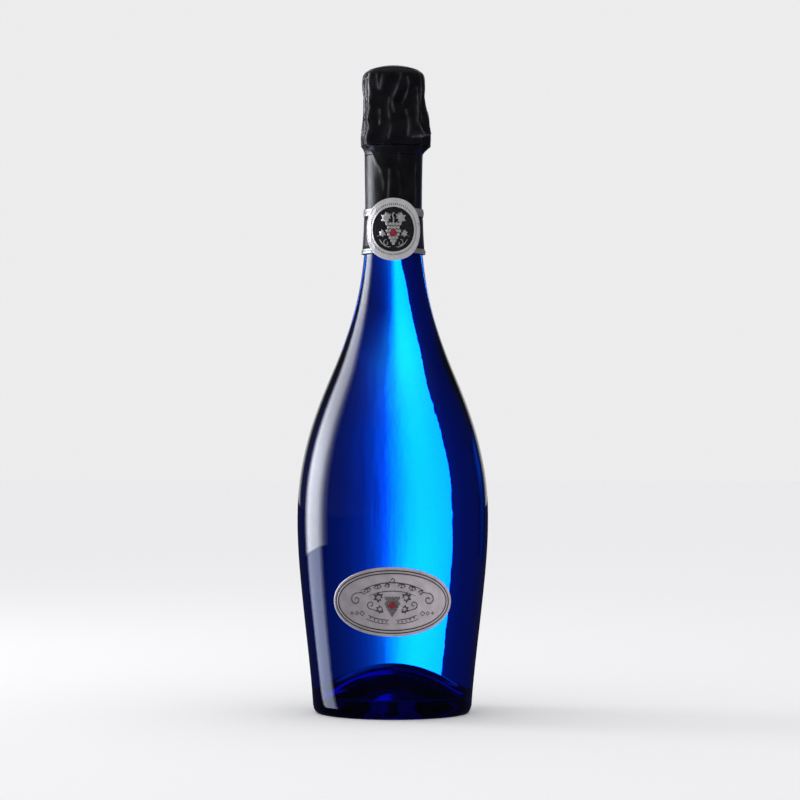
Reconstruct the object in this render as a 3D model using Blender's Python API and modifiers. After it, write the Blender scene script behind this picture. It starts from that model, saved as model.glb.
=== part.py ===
"""Sparkling wine bottle: glass, wine, mushroom cork, wire cage, foil capsule and metal labels.

Metres, +Z up. The origin is the centre of the foot, and the labels face -Y. The cork, the cage
on it, the foil hood and the cage's twist loop are apart from the bottle, so that they can move.
"""

import bmesh
import bpy
from math import cos, exp, pi, radians, sin
from mathutils import Matrix, Vector

# Driving dimensions of the glass
GLASS_HEIGHT = 0.3010
BELLY_HEIGHT = 0.0936
BELLY_RADIUS = 0.04675
FOOT_RADIUS = 0.0389
HEEL_HEIGHT = 0.0054
CONTACT_RADIUS = 0.0363
PUNT_RADIUS = 0.0312
PUNT_HEIGHT = 0.0205
NECK_RADIUS = 0.0133
NECK_LENGTH = 0.0510
BORE_RADIUS = 0.00925
WALL = 0.0045
BASE_WALL = 0.0055
TROUGH_RADIUS = 0.0325
TROUGH_HEIGHT = 0.0085
TROUGH_CORNER = 0.0050

# The finish at the top of the neck, measured down from the mouth
BEAD_RADIUS = 0.0137
BEAD_LENGTH = 0.0060
WAIST_RADIUS = 0.0129
RING_RADIUS = 0.0143
RING_DROP = 0.0120
RING_LENGTH = 0.0075
GROOVE_RADIUS = 0.0126
GROOVE_LENGTH = 0.0055
FINISH_ROUND = 0.0010

# Fits and thin sheets
GAP = 0.0003
WIRE_GAP = 0.00025
FOIL = 0.00025
SHEET = 0.0003

# Wine and cork
FILL_DROP = 0.0710
CORK_DEPTH = 0.0260
CORK_DISC = 0.0055
CORK_HEAD_RADIUS = 0.0139
CORK_HEAD_HEIGHT = 0.0100
CORK_EDGE = 0.0025

# Wire cage and its metal cap
WIRE = 0.0004
BELT_DROP = 0.0220
PLATE_RADIUS = 0.0129
PLATE_SHEET = 0.00035
PLATE_STEP = 0.00035
CROWN_RADIUS = 0.0109
LOOP_HALF_WIDTH = 0.0032
LOOP_HALF_LENGTH = 0.0041
LOOP_STEM = 0.0036
LEG_TURNS = 3
LEGS = 4

# Foil capsule
CAPSULE_DOME = 0.0022
TOP_DISC_RADIUS = 0.0117
CROWN_EASE = 0.0008
TEAR_STRIP = 0.0040
SKIRT_LENGTH = 0.0322

# Neck label, measured down from the mouth
COLLAR_DROP = 0.0660
COLLAR_WIDTH = 0.0220
UPPER_RIM_WIDTH = 0.0037
LOWER_RIM_WIDTH = 0.0024
RIM_RAISE = 0.00025
SEAL_RADIUS = 0.0152
SEAL_BORDER = 0.0042
SEAL_SHEET = 0.0004
SEAL_DROP = 0.0657

# Front plate
FRONT_HALF_WIDTH = 0.0302
FRONT_HALF_HEIGHT = 0.0166
FRONT_CENTRE = 0.0566
FRONT_SHEET = 0.0005
FRONT_BORDER = 0.0022
FRONT_RAISE = 0.0004
FRONT_INSET = 0.0003

# Counts of facets
GLASS_STEPS = 32
FOIL_STEPS = 40
CORK_STEPS = 32
WIRE_SIDES = 6
EYE_STEPS = 10
RINGS_PER_TURN = 8
SHARP_ANGLE = radians(40)

# Outline of the glass: share of the height and share of the widening of each stretch
lower_shares = [
    (0.0, 0.0), (0.111, 0.102), (0.222, 0.229), (0.333, 0.369), (0.444, 0.510),
    (0.556, 0.650), (0.667, 0.777), (0.778, 0.892), (0.889, 0.968), (1.0, 1.0),
]
shoulder_shares = [
    (0.0, 1.0), (0.063, 0.994), (0.125, 0.975), (0.188, 0.924), (0.251, 0.858),
    (0.313, 0.771), (0.376, 0.664), (0.439, 0.544), (0.501, 0.416), (0.564, 0.308),
    (0.627, 0.209), (0.689, 0.133), (0.752, 0.078), (0.808, 0.046), (0.853, 0.021),
    (0.904, 0.006), (1.0, 0.0),
]
BELL_POWER_SHARE = 1.25

# Radii of the rings of the domed top disc, as shares of its radius
dome_shares = [0.0, 0.35, 0.6, 0.85, 1.0]

# Section of two wires lying side by side, as shares of their joint half width
pair_shares = [
    (1.0, 0.0), (0.72, 0.46), (0.0, 0.33), (-0.72, 0.46),
    (-1.0, 0.0), (-0.72, -0.46), (0.0, -0.33), (0.72, -0.46),
]

# Where a sleeve's foil is drawn in over the legs and over the twist loop, in degrees
LEG_FOLD = 12
LOOP_FOLD = 20
LEG_ANGLES = [45 + 360 / LEGS * turn for turn in range(LEGS)]
LOOP_ANGLE = 0

# Places worked out from the sizes above
NECK_START = GLASS_HEIGHT - NECK_LENGTH
RING_TOP = GLASS_HEIGHT - RING_DROP
RING_BOTTOM = RING_TOP - RING_LENGTH
BELT_HEIGHT = GLASS_HEIGHT - BELT_DROP
CORK_TOP = GLASS_HEIGHT + GAP + CORK_HEAD_HEIGHT
STEM_RADIUS = BORE_RADIUS - GAP
PLATE_BOTTOM = CORK_TOP + GAP
PLATE_TOP = PLATE_BOTTOM + PLATE_SHEET
TWIST = 2 * WIRE
EYE_RADIUS = TWIST + WIRE_GAP
EYE_REACH = EYE_RADIUS + WIRE
BELT_RADIUS = RING_RADIUS + GAP + WIRE
CORNER_RADIUS = RING_RADIUS + WIRE_GAP + EYE_REACH
LEG_TOP = PLATE_TOP + WIRE_GAP + TWIST
LEG_RADIUS = CORK_HEAD_RADIUS + GAP + TWIST
RING_LEG_RADIUS = RING_RADIUS + GAP + TWIST
CAPSULE_TOP = LEG_TOP + TWIST + WIRE_GAP + 2 * FOIL + CAPSULE_DOME
HOOD_RIM = CAPSULE_TOP - CAPSULE_DOME - FOIL
HOOD_LIP = BELT_HEIGHT - EYE_REACH - CROWN_EASE
STRIP_TOP = HOOD_LIP - GAP
STRIP_BOTTOM = STRIP_TOP - TEAR_STRIP
SKIRT_TOP = STRIP_BOTTOM - GAP
SKIRT_BOTTOM = SKIRT_TOP - SKIRT_LENGTH
COLLAR_CENTRE = GLASS_HEIGHT - COLLAR_DROP
SEAL_CENTRE = GLASS_HEIGHT - SEAL_DROP
COLLAR_TOP = COLLAR_CENTRE + COLLAR_WIDTH / 2
COLLAR_BOTTOM = COLLAR_CENTRE - COLLAR_WIDTH / 2
SKIRT_OFFSET = GAP
COLLAR_OFFSET = SKIRT_OFFSET + FOIL + WIRE_GAP
SEAL_OFFSET = COLLAR_OFFSET + SHEET + RIM_RAISE + WIRE_GAP


def clear_scene():
    for item in list(bpy.data.objects):
        bpy.data.objects.remove(item, do_unlink=True)


def new_collection(name):
    collection = bpy.data.collections.new(name)
    bpy.context.scene.collection.children.link(collection)
    return collection


clear_scene()
PARTS = new_collection("sparkling_wine_bottle")
CUTTERS = new_collection("cutters")


def material(name, colour, roughness, metallic=0.0, transmission=0.0):
    finish = bpy.data.materials.new(name)
    finish.use_nodes = True
    shader = finish.node_tree.nodes["Principled BSDF"]
    shader.inputs["Base Color"].default_value = (*colour, 1.0)
    shader.inputs["Roughness"].default_value = roughness
    shader.inputs["Metallic"].default_value = metallic
    shader.inputs["Transmission Weight"].default_value = transmission
    return finish


def place(item, finish, collection=None):
    """Link an object to its collection and give it its material."""
    target = collection or PARTS
    for user in list(item.users_collection):
        user.objects.unlink(item)
    target.objects.link(item)
    if target is CUTTERS:
        item.hide_render = True
        item.display_type = "WIRE"
    item.data.materials.clear()
    if finish:
        item.data.materials.append(finish)
    return item


def between(low, high, count):
    """Evenly spaced values from low to high, both included."""
    return [low + (high - low) * step / (count - 1) for step in range(count)]


def smooth(table, x):
    """Cubic through a table of (x, y) pairs, level at both ends."""
    last = len(table) - 1
    slopes = [0.0] * (last + 1)
    for k in range(1, last):
        slopes[k] = (table[k + 1][1] - table[k - 1][1]) / (table[k + 1][0] - table[k - 1][0])
    k = 0
    while k < last - 1 and x > table[k + 1][0]:
        k += 1
    x0, y0 = table[k]
    x1, y1 = table[k + 1]
    width = x1 - x0
    t = min(max((x - x0) / width, 0.0), 1.0)
    start = (1 + 2 * t) * (1 - t) ** 2 * y0 + t * (1 - t) ** 2 * width * slopes[k]
    end = t * t * (3 - 2 * t) * y1 + t * t * (t - 1) * width * slopes[k + 1]
    return start + end


def outer_radius(z):
    """Radius of the glass outside, from the heel to the straight neck."""
    if z <= BELLY_HEIGHT:
        share = (z - HEEL_HEIGHT) / (BELLY_HEIGHT - HEEL_HEIGHT)
        return FOOT_RADIUS + (BELLY_RADIUS - FOOT_RADIUS) * smooth(lower_shares, share)
    share = (z - BELLY_HEIGHT) / (NECK_START - BELLY_HEIGHT)
    return NECK_RADIUS + (BELLY_RADIUS - NECK_RADIUS) * smooth(shoulder_shares, share)


def inner_radius(z):
    """Radius of the cavity: the wall inside the outline, and never less than the bore."""
    return max(BORE_RADIUS, outer_radius(z) - WALL)


def bell(radius, height, base, count):
    """Points of a bell from its top on the axis to its rim."""
    points = []
    for share in between(0.0, 1.0, count):
        rise = (1 - share * share) ** BELL_POWER_SHARE
        points.append((radius * share, base + height * rise))
    return points


def quarter(centre, width, height, count):
    """A quarter ellipse from straight below the centre round to beside it."""
    angles = between(0.0, pi / 2, count)
    return [(centre[0] + width * sin(a), centre[1] - height * cos(a)) for a in angles]


def cavity_outline(gap):
    """The cavity's outline from the middle of its floor up to the level z, inside by a gap."""
    crest = PUNT_HEIGHT + BASE_WALL - TROUGH_HEIGHT
    points = [(r, z + gap) for r, z in bell(TROUGH_RADIUS, crest, TROUGH_HEIGHT, 8)]
    corner_top = TROUGH_HEIGHT + TROUGH_CORNER
    width = inner_radius(corner_top) - TROUGH_RADIUS - gap
    corner = quarter((TROUGH_RADIUS, corner_top + gap), width, TROUGH_CORNER, 4)
    return points + corner[1:]


def turned(name, points, finish, steps, collection=None):
    """A solid or ring turned from a profile that runs down its outer side."""
    mesh = bpy.data.meshes.new(name)
    edges = [(k, k + 1) for k in range(len(points) - 1)]
    on_axis = points[0][0] == 0.0 and points[-1][0] == 0.0
    if not on_axis:
        edges.append((len(points) - 1, 0))
    mesh.from_pydata([(r, 0.0, z) for r, z in points], edges, [])
    item = place(bpy.data.objects.new(name, mesh), finish, collection)
    screw = item.modifiers.new("Turn", "SCREW")
    screw.steps = steps
    screw.render_steps = steps
    screw.use_merge_vertices = True
    screw.merge_threshold = 1e-6
    screw.use_smooth_shade = True
    return item


def sleeve(name, z_top, z_bottom, offset, thickness, rows, finish, steps, collection=None):
    """A thin sleeve that follows the glass at an offset."""
    heights = between(z_top, z_bottom, rows)
    outside = [(outer_radius(z) + offset + thickness, z) for z in heights]
    inside = [(outer_radius(z) + offset, z) for z in reversed(heights)]
    return turned(name, outside + inside, finish, steps, collection)


def as_mesh(item, name, finish, collection=None):
    """A mesh object made from an object as its modifiers or bevel leave it."""
    graph = bpy.context.evaluated_depsgraph_get()
    graph.update()
    mesh = bpy.data.meshes.new_from_object(item.evaluated_get(graph))
    shape = bmesh.new()
    shape.from_mesh(mesh)
    bmesh.ops.remove_doubles(shape, verts=shape.verts, dist=1e-6)
    bmesh.ops.recalc_face_normals(shape, faces=shape.faces)
    shape.to_mesh(mesh)
    shape.free()
    mesh.shade_smooth()
    mesh.set_sharp_from_angle(angle=SHARP_ANGLE)
    matrix = item.matrix_world.copy()
    bpy.data.objects.remove(item, do_unlink=True)
    copy = bpy.data.objects.new(name, mesh)
    copy.matrix_world = matrix
    return place(copy, finish, collection)


def curve(name, points, closed, flat=False):
    data = bpy.data.curves.new(name, "CURVE")
    data.dimensions = "2D" if flat else "3D"
    data.render_resolution_u = 0
    spline = data.splines.new("POLY")
    spline.points.add(len(points) - 1)
    for target, point in zip(spline.points, points):
        target.co = (*point, 0.0, 1.0) if flat else (*point, 1.0)
    spline.use_cyclic_u = closed
    item = bpy.data.objects.new(name, data)
    CUTTERS.objects.link(item)
    return item


def wire(name, points, closed, finish, collection=None):
    """A round wire along points."""
    item = curve(name, points, closed)
    item.data.bevel_depth = WIRE
    item.data.bevel_resolution = 1
    item.data.use_fill_caps = True
    return as_mesh(item, name, finish, collection)


def twisted_pair(name, points, turns, finish, collection=None):
    """Two wires twisted round each other along points, as one strand of their joint section."""
    section_points = [(TWIST * across, TWIST * up) for across, up in pair_shares]
    section = curve(name + "_section", section_points, True, flat=True)
    item = curve(name, points, False)
    for k, point in enumerate(item.data.splines[0].points):
        point.tilt = 2 * pi * turns * k / (len(points) - 1)
    item.data.bevel_mode = "OBJECT"
    item.data.bevel_object = section
    item.data.use_fill_caps = True
    result = as_mesh(item, name, finish, collection)
    bpy.data.objects.remove(section, do_unlink=True)
    return result


def evenly(points, count):
    """Points at equal steps along a chain of points."""
    chain = [Vector(point) for point in points]
    lengths = [0.0]
    for a, b in zip(chain, chain[1:]):
        lengths.append(lengths[-1] + (b - a).length)
    result = []
    k = 0
    for target in between(0.0, lengths[-1], count):
        while k < len(chain) - 2 and target > lengths[k + 1]:
            k += 1
        share = (target - lengths[k]) / (lengths[k + 1] - lengths[k])
        result.append(chain[k].lerp(chain[k + 1], share))
    return result


def boolean(item, other, operation):
    step = item.modifiers.new(operation.title(), "BOOLEAN")
    step.operation = operation
    step.solver = "EXACT"
    step.object = other
    other.hide_render = True
    other.display_type = "WIRE"


def around(points, degrees):
    """Points of the X-Z plane turned about the Z axis."""
    turn = Matrix.Rotation(radians(degrees), 3, "Z")
    return [turn @ Vector(point) for point in points]


def near(degrees, centre, fold):
    """How strongly a direction belongs to a fold round a centre direction, from 0 to 1."""
    away = (degrees - centre + 180) % 360 - 180
    return exp(-((away / fold) ** 2))


# Glass and wine


def finish_outline():
    """The mouth, the bead, the ring that holds the cage and the groove under it."""
    top = GLASS_HEIGHT
    rounding = FINISH_ROUND
    points = [
        (BORE_RADIUS, top - rounding),
        (BORE_RADIUS + rounding / 2, top),
        (BEAD_RADIUS - rounding, top),
        (BEAD_RADIUS, top - rounding),
        (BEAD_RADIUS, top - BEAD_LENGTH + rounding),
        (WAIST_RADIUS, top - BEAD_LENGTH),
        (WAIST_RADIUS, RING_TOP + rounding),
        (RING_RADIUS - rounding, RING_TOP),
        (RING_RADIUS, RING_TOP - rounding),
        (RING_RADIUS, RING_BOTTOM + rounding),
        (GROOVE_RADIUS, RING_BOTTOM),
        (GROOVE_RADIUS, RING_BOTTOM - GROOVE_LENGTH),
        (NECK_RADIUS, RING_BOTTOM - GROOVE_LENGTH - rounding),
    ]
    return points


def make_glass():
    corner_top = TROUGH_HEIGHT + TROUGH_CORNER
    inside = [(inner_radius(z), z) for z in between(corner_top, NECK_START, 14)]
    outside = [(outer_radius(z), z) for z in between(NECK_START, HEEL_HEIGHT, 24)]
    heel = quarter((CONTACT_RADIUS, HEEL_HEIGHT), FOOT_RADIUS - CONTACT_RADIUS, HEEL_HEIGHT, 4)
    punt = bell(PUNT_RADIUS, PUNT_HEIGHT, 0.0, 8)
    points = cavity_outline(0.0)[:-1] + inside + finish_outline()
    points += outside + heel[::-1][1:] + punt[::-1]
    finish = material("cobalt_glass", (0.005, 0.06, 0.75), 0.03, 0.0, 0.9)
    return turned("glass_bottle", points, finish, GLASS_STEPS)


def make_wine():
    level = GLASS_HEIGHT - FILL_DROP
    corner_top = TROUGH_HEIGHT + TROUGH_CORNER
    rise = between(corner_top + GAP, level, 13)
    wall = [(inner_radius(z) - GAP, z) for z in rise]
    points = cavity_outline(GAP)[:-1] + wall + [(0.0, level)]
    finish = material("wine", (0.95, 0.88, 0.55), 0.02, 0.0, 0.9)
    return turned("wine", points[::-1], finish, GLASS_STEPS)


# Cork


def make_cork():
    finish = material("cork", (0.62, 0.44, 0.27), 0.85)
    disc = material("cork_disc", (0.70, 0.52, 0.33), 0.8)
    head_bottom = GLASS_HEIGHT + GAP
    shoulder = CORK_HEAD_RADIUS - CORK_EDGE
    edge = quarter((shoulder, CORK_TOP - CORK_EDGE), CORK_EDGE, -CORK_EDGE, 5)
    stem_bottom = GLASS_HEIGHT - CORK_DEPTH + 2 * (CORK_DISC + GAP)
    points = [(0.0, CORK_TOP)] + edge
    points += [
        (CORK_HEAD_RADIUS, head_bottom + FINISH_ROUND),
        (CORK_HEAD_RADIUS - FINISH_ROUND, head_bottom),
        (STEM_RADIUS, head_bottom),
        (STEM_RADIUS, stem_bottom),
        (0.0, stem_bottom),
    ]
    turned("cork_stem", points, finish, CORK_STEPS)
    for k, name in enumerate(["cork_disc_upper", "cork_disc_lower"]):
        top = stem_bottom - GAP - k * (CORK_DISC + GAP)
        outline = [
            (0.0, top),
            (STEM_RADIUS, top),
            (STEM_RADIUS, top - CORK_DISC),
            (0.0, top - CORK_DISC),
        ]
        turned(name, outline, disc, CORK_STEPS)


# Wire cage


def leg_points():
    """A leg's path at +X: over the cork's shoulder, down past the ring, out to its eye."""
    centre = (CORK_HEAD_RADIUS - CORK_EDGE, CORK_TOP - CORK_EDGE)
    arc = quarter(centre, LEG_RADIUS - centre[0], -(LEG_TOP - centre[1]), 9)
    path = [(CROWN_RADIUS, LEG_TOP)] + arc
    path += [
        (LEG_RADIUS, GLASS_HEIGHT),
        (LEG_RADIUS, RING_TOP + BEAD_LENGTH),
        (RING_LEG_RADIUS, RING_TOP + FINISH_ROUND),
        (CORNER_RADIUS, BELT_HEIGHT + EYE_RADIUS + WIRE / 2),
    ]
    return evenly([(r, 0.0, z) for r, z in path], RINGS_PER_TURN * LEG_TURNS + 2)


def eye(name, radius, degrees, finish):
    """A small ring of wire round the belt at a direction, lying square to the belt."""
    bpy.ops.mesh.primitive_torus_add(
        major_radius=EYE_RADIUS, minor_radius=WIRE, major_segments=EYE_STEPS, minor_segments=WIRE_SIDES
    )
    item = bpy.context.object
    item.name = name
    stand = Matrix.Rotation(pi / 2, 4, "X")
    shift = Matrix.Translation((radius, 0.0, BELT_HEIGHT))
    item.data.transform(Matrix.Rotation(radians(degrees), 4, "Z") @ shift @ stand)
    return place(item, finish, CUTTERS)


def make_cage():
    steel = material("cage_steel", (0.62, 0.62, 0.64), 0.3, 1.0)
    lacquer = material("cap_lacquer", (0.02, 0.02, 0.025), 0.25, 0.6)
    ring = [
        (CROWN_RADIUS * cos(a), CROWN_RADIUS * sin(a), PLATE_TOP + WIRE_GAP + WIRE)
        for a in between(0.0, 2 * pi, 33)[:-1]
    ]
    cage = wire("cage_wire", ring, True, steel)
    for number, degrees in enumerate(LEG_ANGLES):
        path = around(leg_points(), degrees)
        leg = twisted_pair("leg_" + str(number), path, LEG_TURNS, steel, CUTTERS)
        boolean(cage, leg, "UNION")
        boolean(cage, eye("eye_" + str(number), CORNER_RADIUS, degrees, steel), "UNION")

    belt = []
    for degrees in between(0.0, 360.0, 49)[:-1]:
        pulls = [near(degrees, angle, LEG_FOLD) for angle in LEG_ANGLES + [LOOP_ANGLE]]
        radius = BELT_RADIUS + (CORNER_RADIUS - BELT_RADIUS) * min(sum(pulls), 1.0)
        belt += around([(radius, 0.0, BELT_HEIGHT)], degrees)
    wire("belt_wire", belt, True, steel)

    lowered = PLATE_TOP - PLATE_STEP
    bend = (CROWN_RADIUS + PLATE_RADIUS) / 2
    outline = [
        (0.0, PLATE_TOP),
        (bend, PLATE_TOP),
        (PLATE_RADIUS, lowered),
        (PLATE_RADIUS, lowered - PLATE_SHEET),
        (bend, PLATE_BOTTOM),
        (0.0, PLATE_BOTTOM),
    ]
    turned("cage_plate", outline, lacquer, CORK_STEPS)


def make_loop():
    """The twist loop, folded up against the ring and hinged on the belt wire."""
    steel = material("loop_steel", (0.62, 0.62, 0.64), 0.3, 1.0)
    root = BELT_HEIGHT + EYE_RADIUS
    stem_top = root + LOOP_STEM
    lean = RING_LEG_RADIUS
    stem = evenly([(CORNER_RADIUS, 0.0, root), (lean, 0.0, stem_top)], 10)
    pair = twisted_pair("loop_stem", stem, 1, steel, CUTTERS)
    middle = stem_top + LOOP_HALF_LENGTH - WIRE
    oval = [
        (lean, LOOP_HALF_WIDTH * sin(a), middle - LOOP_HALF_LENGTH * cos(a))
        for a in between(0.0, 2 * pi, 25)[:-1]
    ]
    loop = wire("twist_loop", oval, True, steel)
    boolean(loop, pair, "UNION")
    boolean(loop, eye("loop_eye", CORNER_RADIUS, LOOP_ANGLE, steel), "UNION")


# Foil capsule


def foil_rows():
    """Rows of the foil's inner face: height, radius, radius over a leg, radius over the loop."""
    crown = LEG_RADIUS - TWIST + CROWN_EASE
    crown_leg = LEG_RADIUS + TWIST + WIRE_GAP
    shoulder = CORK_TOP - CORK_EDGE
    rim = TOP_DISC_RADIUS + GAP
    waist = CORK_HEAD_RADIUS + GAP + CROWN_EASE / 4
    ring = RING_RADIUS + GAP + CROWN_EASE / 4
    ring_leg = RING_LEG_RADIUS + TWIST + WIRE_GAP
    belt = BELT_RADIUS + WIRE + WIRE_GAP
    corner = CORNER_RADIUS + EYE_REACH + WIRE_GAP
    skirt = NECK_RADIUS + SKIRT_OFFSET
    half = (HOOD_RIM + CORK_TOP) / 2
    loop_top = BELT_HEIGHT + EYE_RADIUS + LOOP_STEM + 2 * LOOP_HALF_LENGTH
    loop_out = RING_LEG_RADIUS + WIRE + CROWN_EASE
    strip = [STRIP_TOP - TEAR_STRIP * share for share in (0.4, 0.75)]
    return [
        (HOOD_RIM, rim, rim, rim),
        (half + CROWN_EASE / 2, (rim + crown) / 2, (rim + crown_leg) / 2, (rim + crown) / 2),
        (CORK_TOP + CROWN_EASE / 2, crown - CROWN_EASE / 2, crown_leg - CROWN_EASE / 2,
         crown - CROWN_EASE / 2),
        (shoulder + FINISH_ROUND, crown, crown_leg, crown),
        (GLASS_HEIGHT + CORK_HEAD_HEIGHT / 3, crown, crown_leg, crown),
        (GLASS_HEIGHT, waist, crown_leg, waist),
        (GLASS_HEIGHT - BEAD_LENGTH, waist, crown_leg, (waist + loop_out) / 2),
        (loop_top + FINISH_ROUND, (waist + ring) / 2, ring_leg, loop_out),
        (RING_TOP - RING_LENGTH / 2, (ring + belt) / 2, ring_leg, (loop_out + corner) / 2),
        (RING_BOTTOM, belt, corner, corner),
        (HOOD_LIP, belt, corner, corner),
        (STRIP_TOP, belt, corner, corner),
        (strip[0], (belt + skirt) / 2, (corner + skirt) / 2, (corner + skirt) / 2),
        (strip[1], skirt + CROWN_EASE / 2, skirt + CROWN_EASE, skirt + CROWN_EASE),
        (STRIP_BOTTOM, skirt, skirt, skirt),
    ]


def foil_radius(row, degrees):
    """The foil's inner radius in a direction, pushed out by the legs and the twist loop."""
    z, plain, over_leg, over_loop = row
    leg = max(near(degrees, angle, LEG_FOLD) for angle in LEG_ANGLES)
    loop = exp(-(((degrees - LOOP_ANGLE + 180) % 360 - 180) / LOOP_FOLD) ** 4)
    return max(plain + (over_leg - plain) * leg, plain + (over_loop - plain) * loop)


def make_foil():
    black = material("capsule_foil", (0.012, 0.012, 0.016), 0.22, 0.7)
    rows = foil_rows()
    for name, top, bottom in (("foil_hood", HOOD_RIM, HOOD_LIP), ("tear_strip", STRIP_TOP, STRIP_BOTTOM)):
        chosen = [row for row in rows if bottom <= row[0] <= top]
        pushed_sleeve(name, chosen, black)
    sleeve("foil_skirt", SKIRT_TOP, SKIRT_BOTTOM, SKIRT_OFFSET, FOIL, 4, black, GLASS_STEPS)
    outline = [(TOP_DISC_RADIUS * share, CAPSULE_TOP - CAPSULE_DOME * share ** 2) for share in dome_shares]
    outline += [(radius, z - FOIL) for radius, z in reversed(outline)]
    turned("foil_top_disc", outline, black, CORK_STEPS)


def pushed_sleeve(name, rows, finish):
    """A turned sleeve whose points are pushed out over what is inside, then thickened."""
    mesh = bpy.data.meshes.new(name)
    edges = [(k, k + 1) for k in range(len(rows) - 1)]
    mesh.from_pydata([(row[1], 0.0, row[0]) for row in rows], edges, [])
    profile = bpy.data.objects.new(name + "_profile", mesh)
    CUTTERS.objects.link(profile)
    screw = profile.modifiers.new("Turn", "SCREW")
    screw.steps = FOIL_STEPS
    screw.render_steps = FOIL_STEPS
    screw.use_merge_vertices = True
    screw.merge_threshold = 1e-6
    graph = bpy.context.evaluated_depsgraph_get()
    graph.update()
    sheet = bpy.data.meshes.new_from_object(profile.evaluated_get(graph))
    bpy.data.objects.remove(profile, do_unlink=True)
    for vertex in sheet.vertices:
        row = min(rows, key=lambda entry: abs(entry[0] - vertex.co.z))
        direction = Vector((vertex.co.x, vertex.co.y, 0.0)).normalized()
        degrees = direction.xy.angle_signed(Vector((1.0, 0.0))) * 180 / pi
        vertex.co = direction * foil_radius(row, degrees) + Vector((0.0, 0.0, row[0]))
    item = place(bpy.data.objects.new(name, sheet), finish)
    shell = item.modifiers.new("Foil", "SOLIDIFY")
    shell.thickness = FOIL
    shell.offset = 1.0
    return item


# Labels


def prism(name, outlines, near_y, far_y):
    """A cutter along Y, from outlines in the X-Z plane. A second outline is a hole."""
    data = bpy.data.curves.new(name, "CURVE")
    data.dimensions = "2D"
    data.fill_mode = "BOTH"
    data.extrude = (far_y - near_y) / 2
    for outline in outlines:
        spline = data.splines.new("POLY")
        spline.points.add(len(outline) - 1)
        for target, (x, z) in zip(spline.points, outline):
            target.co = (x, z, 0.0, 1.0)
        spline.use_cyclic_u = True
    item = bpy.data.objects.new(name, data)
    CUTTERS.objects.link(item)
    item.matrix_world = Matrix.Translation((0.0, (near_y + far_y) / 2, 0.0)) @ Matrix.Rotation(
        pi / 2, 4, "X"
    )
    return as_mesh(item, name, None, CUTTERS)


def wrapped_oval(half_width, half_height, centre, radius, count):
    """An oval bent round a cylinder, as seen from the front."""
    return [
        (radius * sin(half_width * cos(a) / radius), centre + half_height * sin(a))
        for a in between(0.0, 2 * pi, count + 1)[:-1]
    ]


def make_collar():
    black = material("collar_black", (0.012, 0.012, 0.014), 0.4)
    silver = material("label_silver", (0.62, 0.61, 0.60), 0.35, 0.9)
    sleeve("collar_band", COLLAR_TOP - UPPER_RIM_WIDTH - GAP, COLLAR_BOTTOM + LOWER_RIM_WIDTH + GAP,
           COLLAR_OFFSET, SHEET, 4, black, GLASS_STEPS)
    sleeve("collar_upper_rim", COLLAR_TOP, COLLAR_TOP - UPPER_RIM_WIDTH,
           COLLAR_OFFSET, SHEET + RIM_RAISE, 2, silver, GLASS_STEPS)
    sleeve("collar_lower_rim", COLLAR_BOTTOM + LOWER_RIM_WIDTH, COLLAR_BOTTOM,
           COLLAR_OFFSET, SHEET + RIM_RAISE, 2, silver, GLASS_STEPS)
    radius = outer_radius(SEAL_CENTRE) + SEAL_OFFSET
    field_radius = SEAL_RADIUS - SEAL_BORDER
    whole = wrapped_oval(SEAL_RADIUS, SEAL_RADIUS, SEAL_CENTRE, radius, 36)
    hole = wrapped_oval(field_radius, field_radius, SEAL_CENTRE, radius, 28)
    inner = wrapped_oval(field_radius - GAP, field_radius - GAP, SEAL_CENTRE, radius, 28)
    top = SEAL_CENTRE + SEAL_RADIUS + GAP
    bottom = SEAL_CENTRE - SEAL_RADIUS - GAP
    ring = sleeve("seal_ring", top, bottom, SEAL_OFFSET, SEAL_SHEET + RIM_RAISE, 5, silver, GLASS_STEPS)
    boolean(ring, prism("seal_ring_cutter", [whole, hole], -2 * radius, -radius / 3), "INTERSECT")
    field = sleeve("seal_field", top, bottom, SEAL_OFFSET, SEAL_SHEET, 5, black, GLASS_STEPS)
    boolean(field, prism("seal_field_cutter", [inner], -2 * radius, -radius / 3), "INTERSECT")


def make_front_plate():
    silver = material("plate_silver", (0.62, 0.61, 0.59), 0.35, 0.9)
    radius = outer_radius(FRONT_CENTRE) + GAP
    top = FRONT_CENTRE + FRONT_HALF_HEIGHT + GAP
    bottom = FRONT_CENTRE - FRONT_HALF_HEIGHT - GAP
    rim_width = FRONT_HALF_WIDTH - FRONT_INSET
    rim_height = FRONT_HALF_HEIGHT - FRONT_INSET
    whole = wrapped_oval(FRONT_HALF_WIDTH, FRONT_HALF_HEIGHT, FRONT_CENTRE, radius, 48)
    edge = wrapped_oval(rim_width, rim_height, FRONT_CENTRE, radius, 48)
    hole = wrapped_oval(rim_width - FRONT_BORDER, rim_height - FRONT_BORDER, FRONT_CENTRE, radius, 48)
    plate = sleeve("front_plate", top, bottom, GAP, FRONT_SHEET, 6, silver, GLASS_STEPS)
    boolean(plate, prism("plate_cutter", [whole], -2 * radius, -radius / 2), "INTERSECT")
    raised = FRONT_SHEET / 2
    rim = sleeve("plate_rim", top, bottom, GAP + raised, raised + FRONT_RAISE, 6, silver,
                 GLASS_STEPS, CUTTERS)
    boolean(rim, prism("rim_cutter", [edge, hole], -2 * radius, -radius / 2), "INTERSECT")
    boolean(plate, rim, "UNION")


make_glass()
make_wine()
make_cork()
make_cage()
make_loop()
make_foil()
make_collar()
make_front_plate()
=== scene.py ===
"""Looks of a sparkling wine bottle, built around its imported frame. Metres, +Z up, labels at -Y."""

from math import cos, exp, pi, radians, sin, sqrt

import bmesh
import bpy
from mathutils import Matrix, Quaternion, Vector, noise


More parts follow.
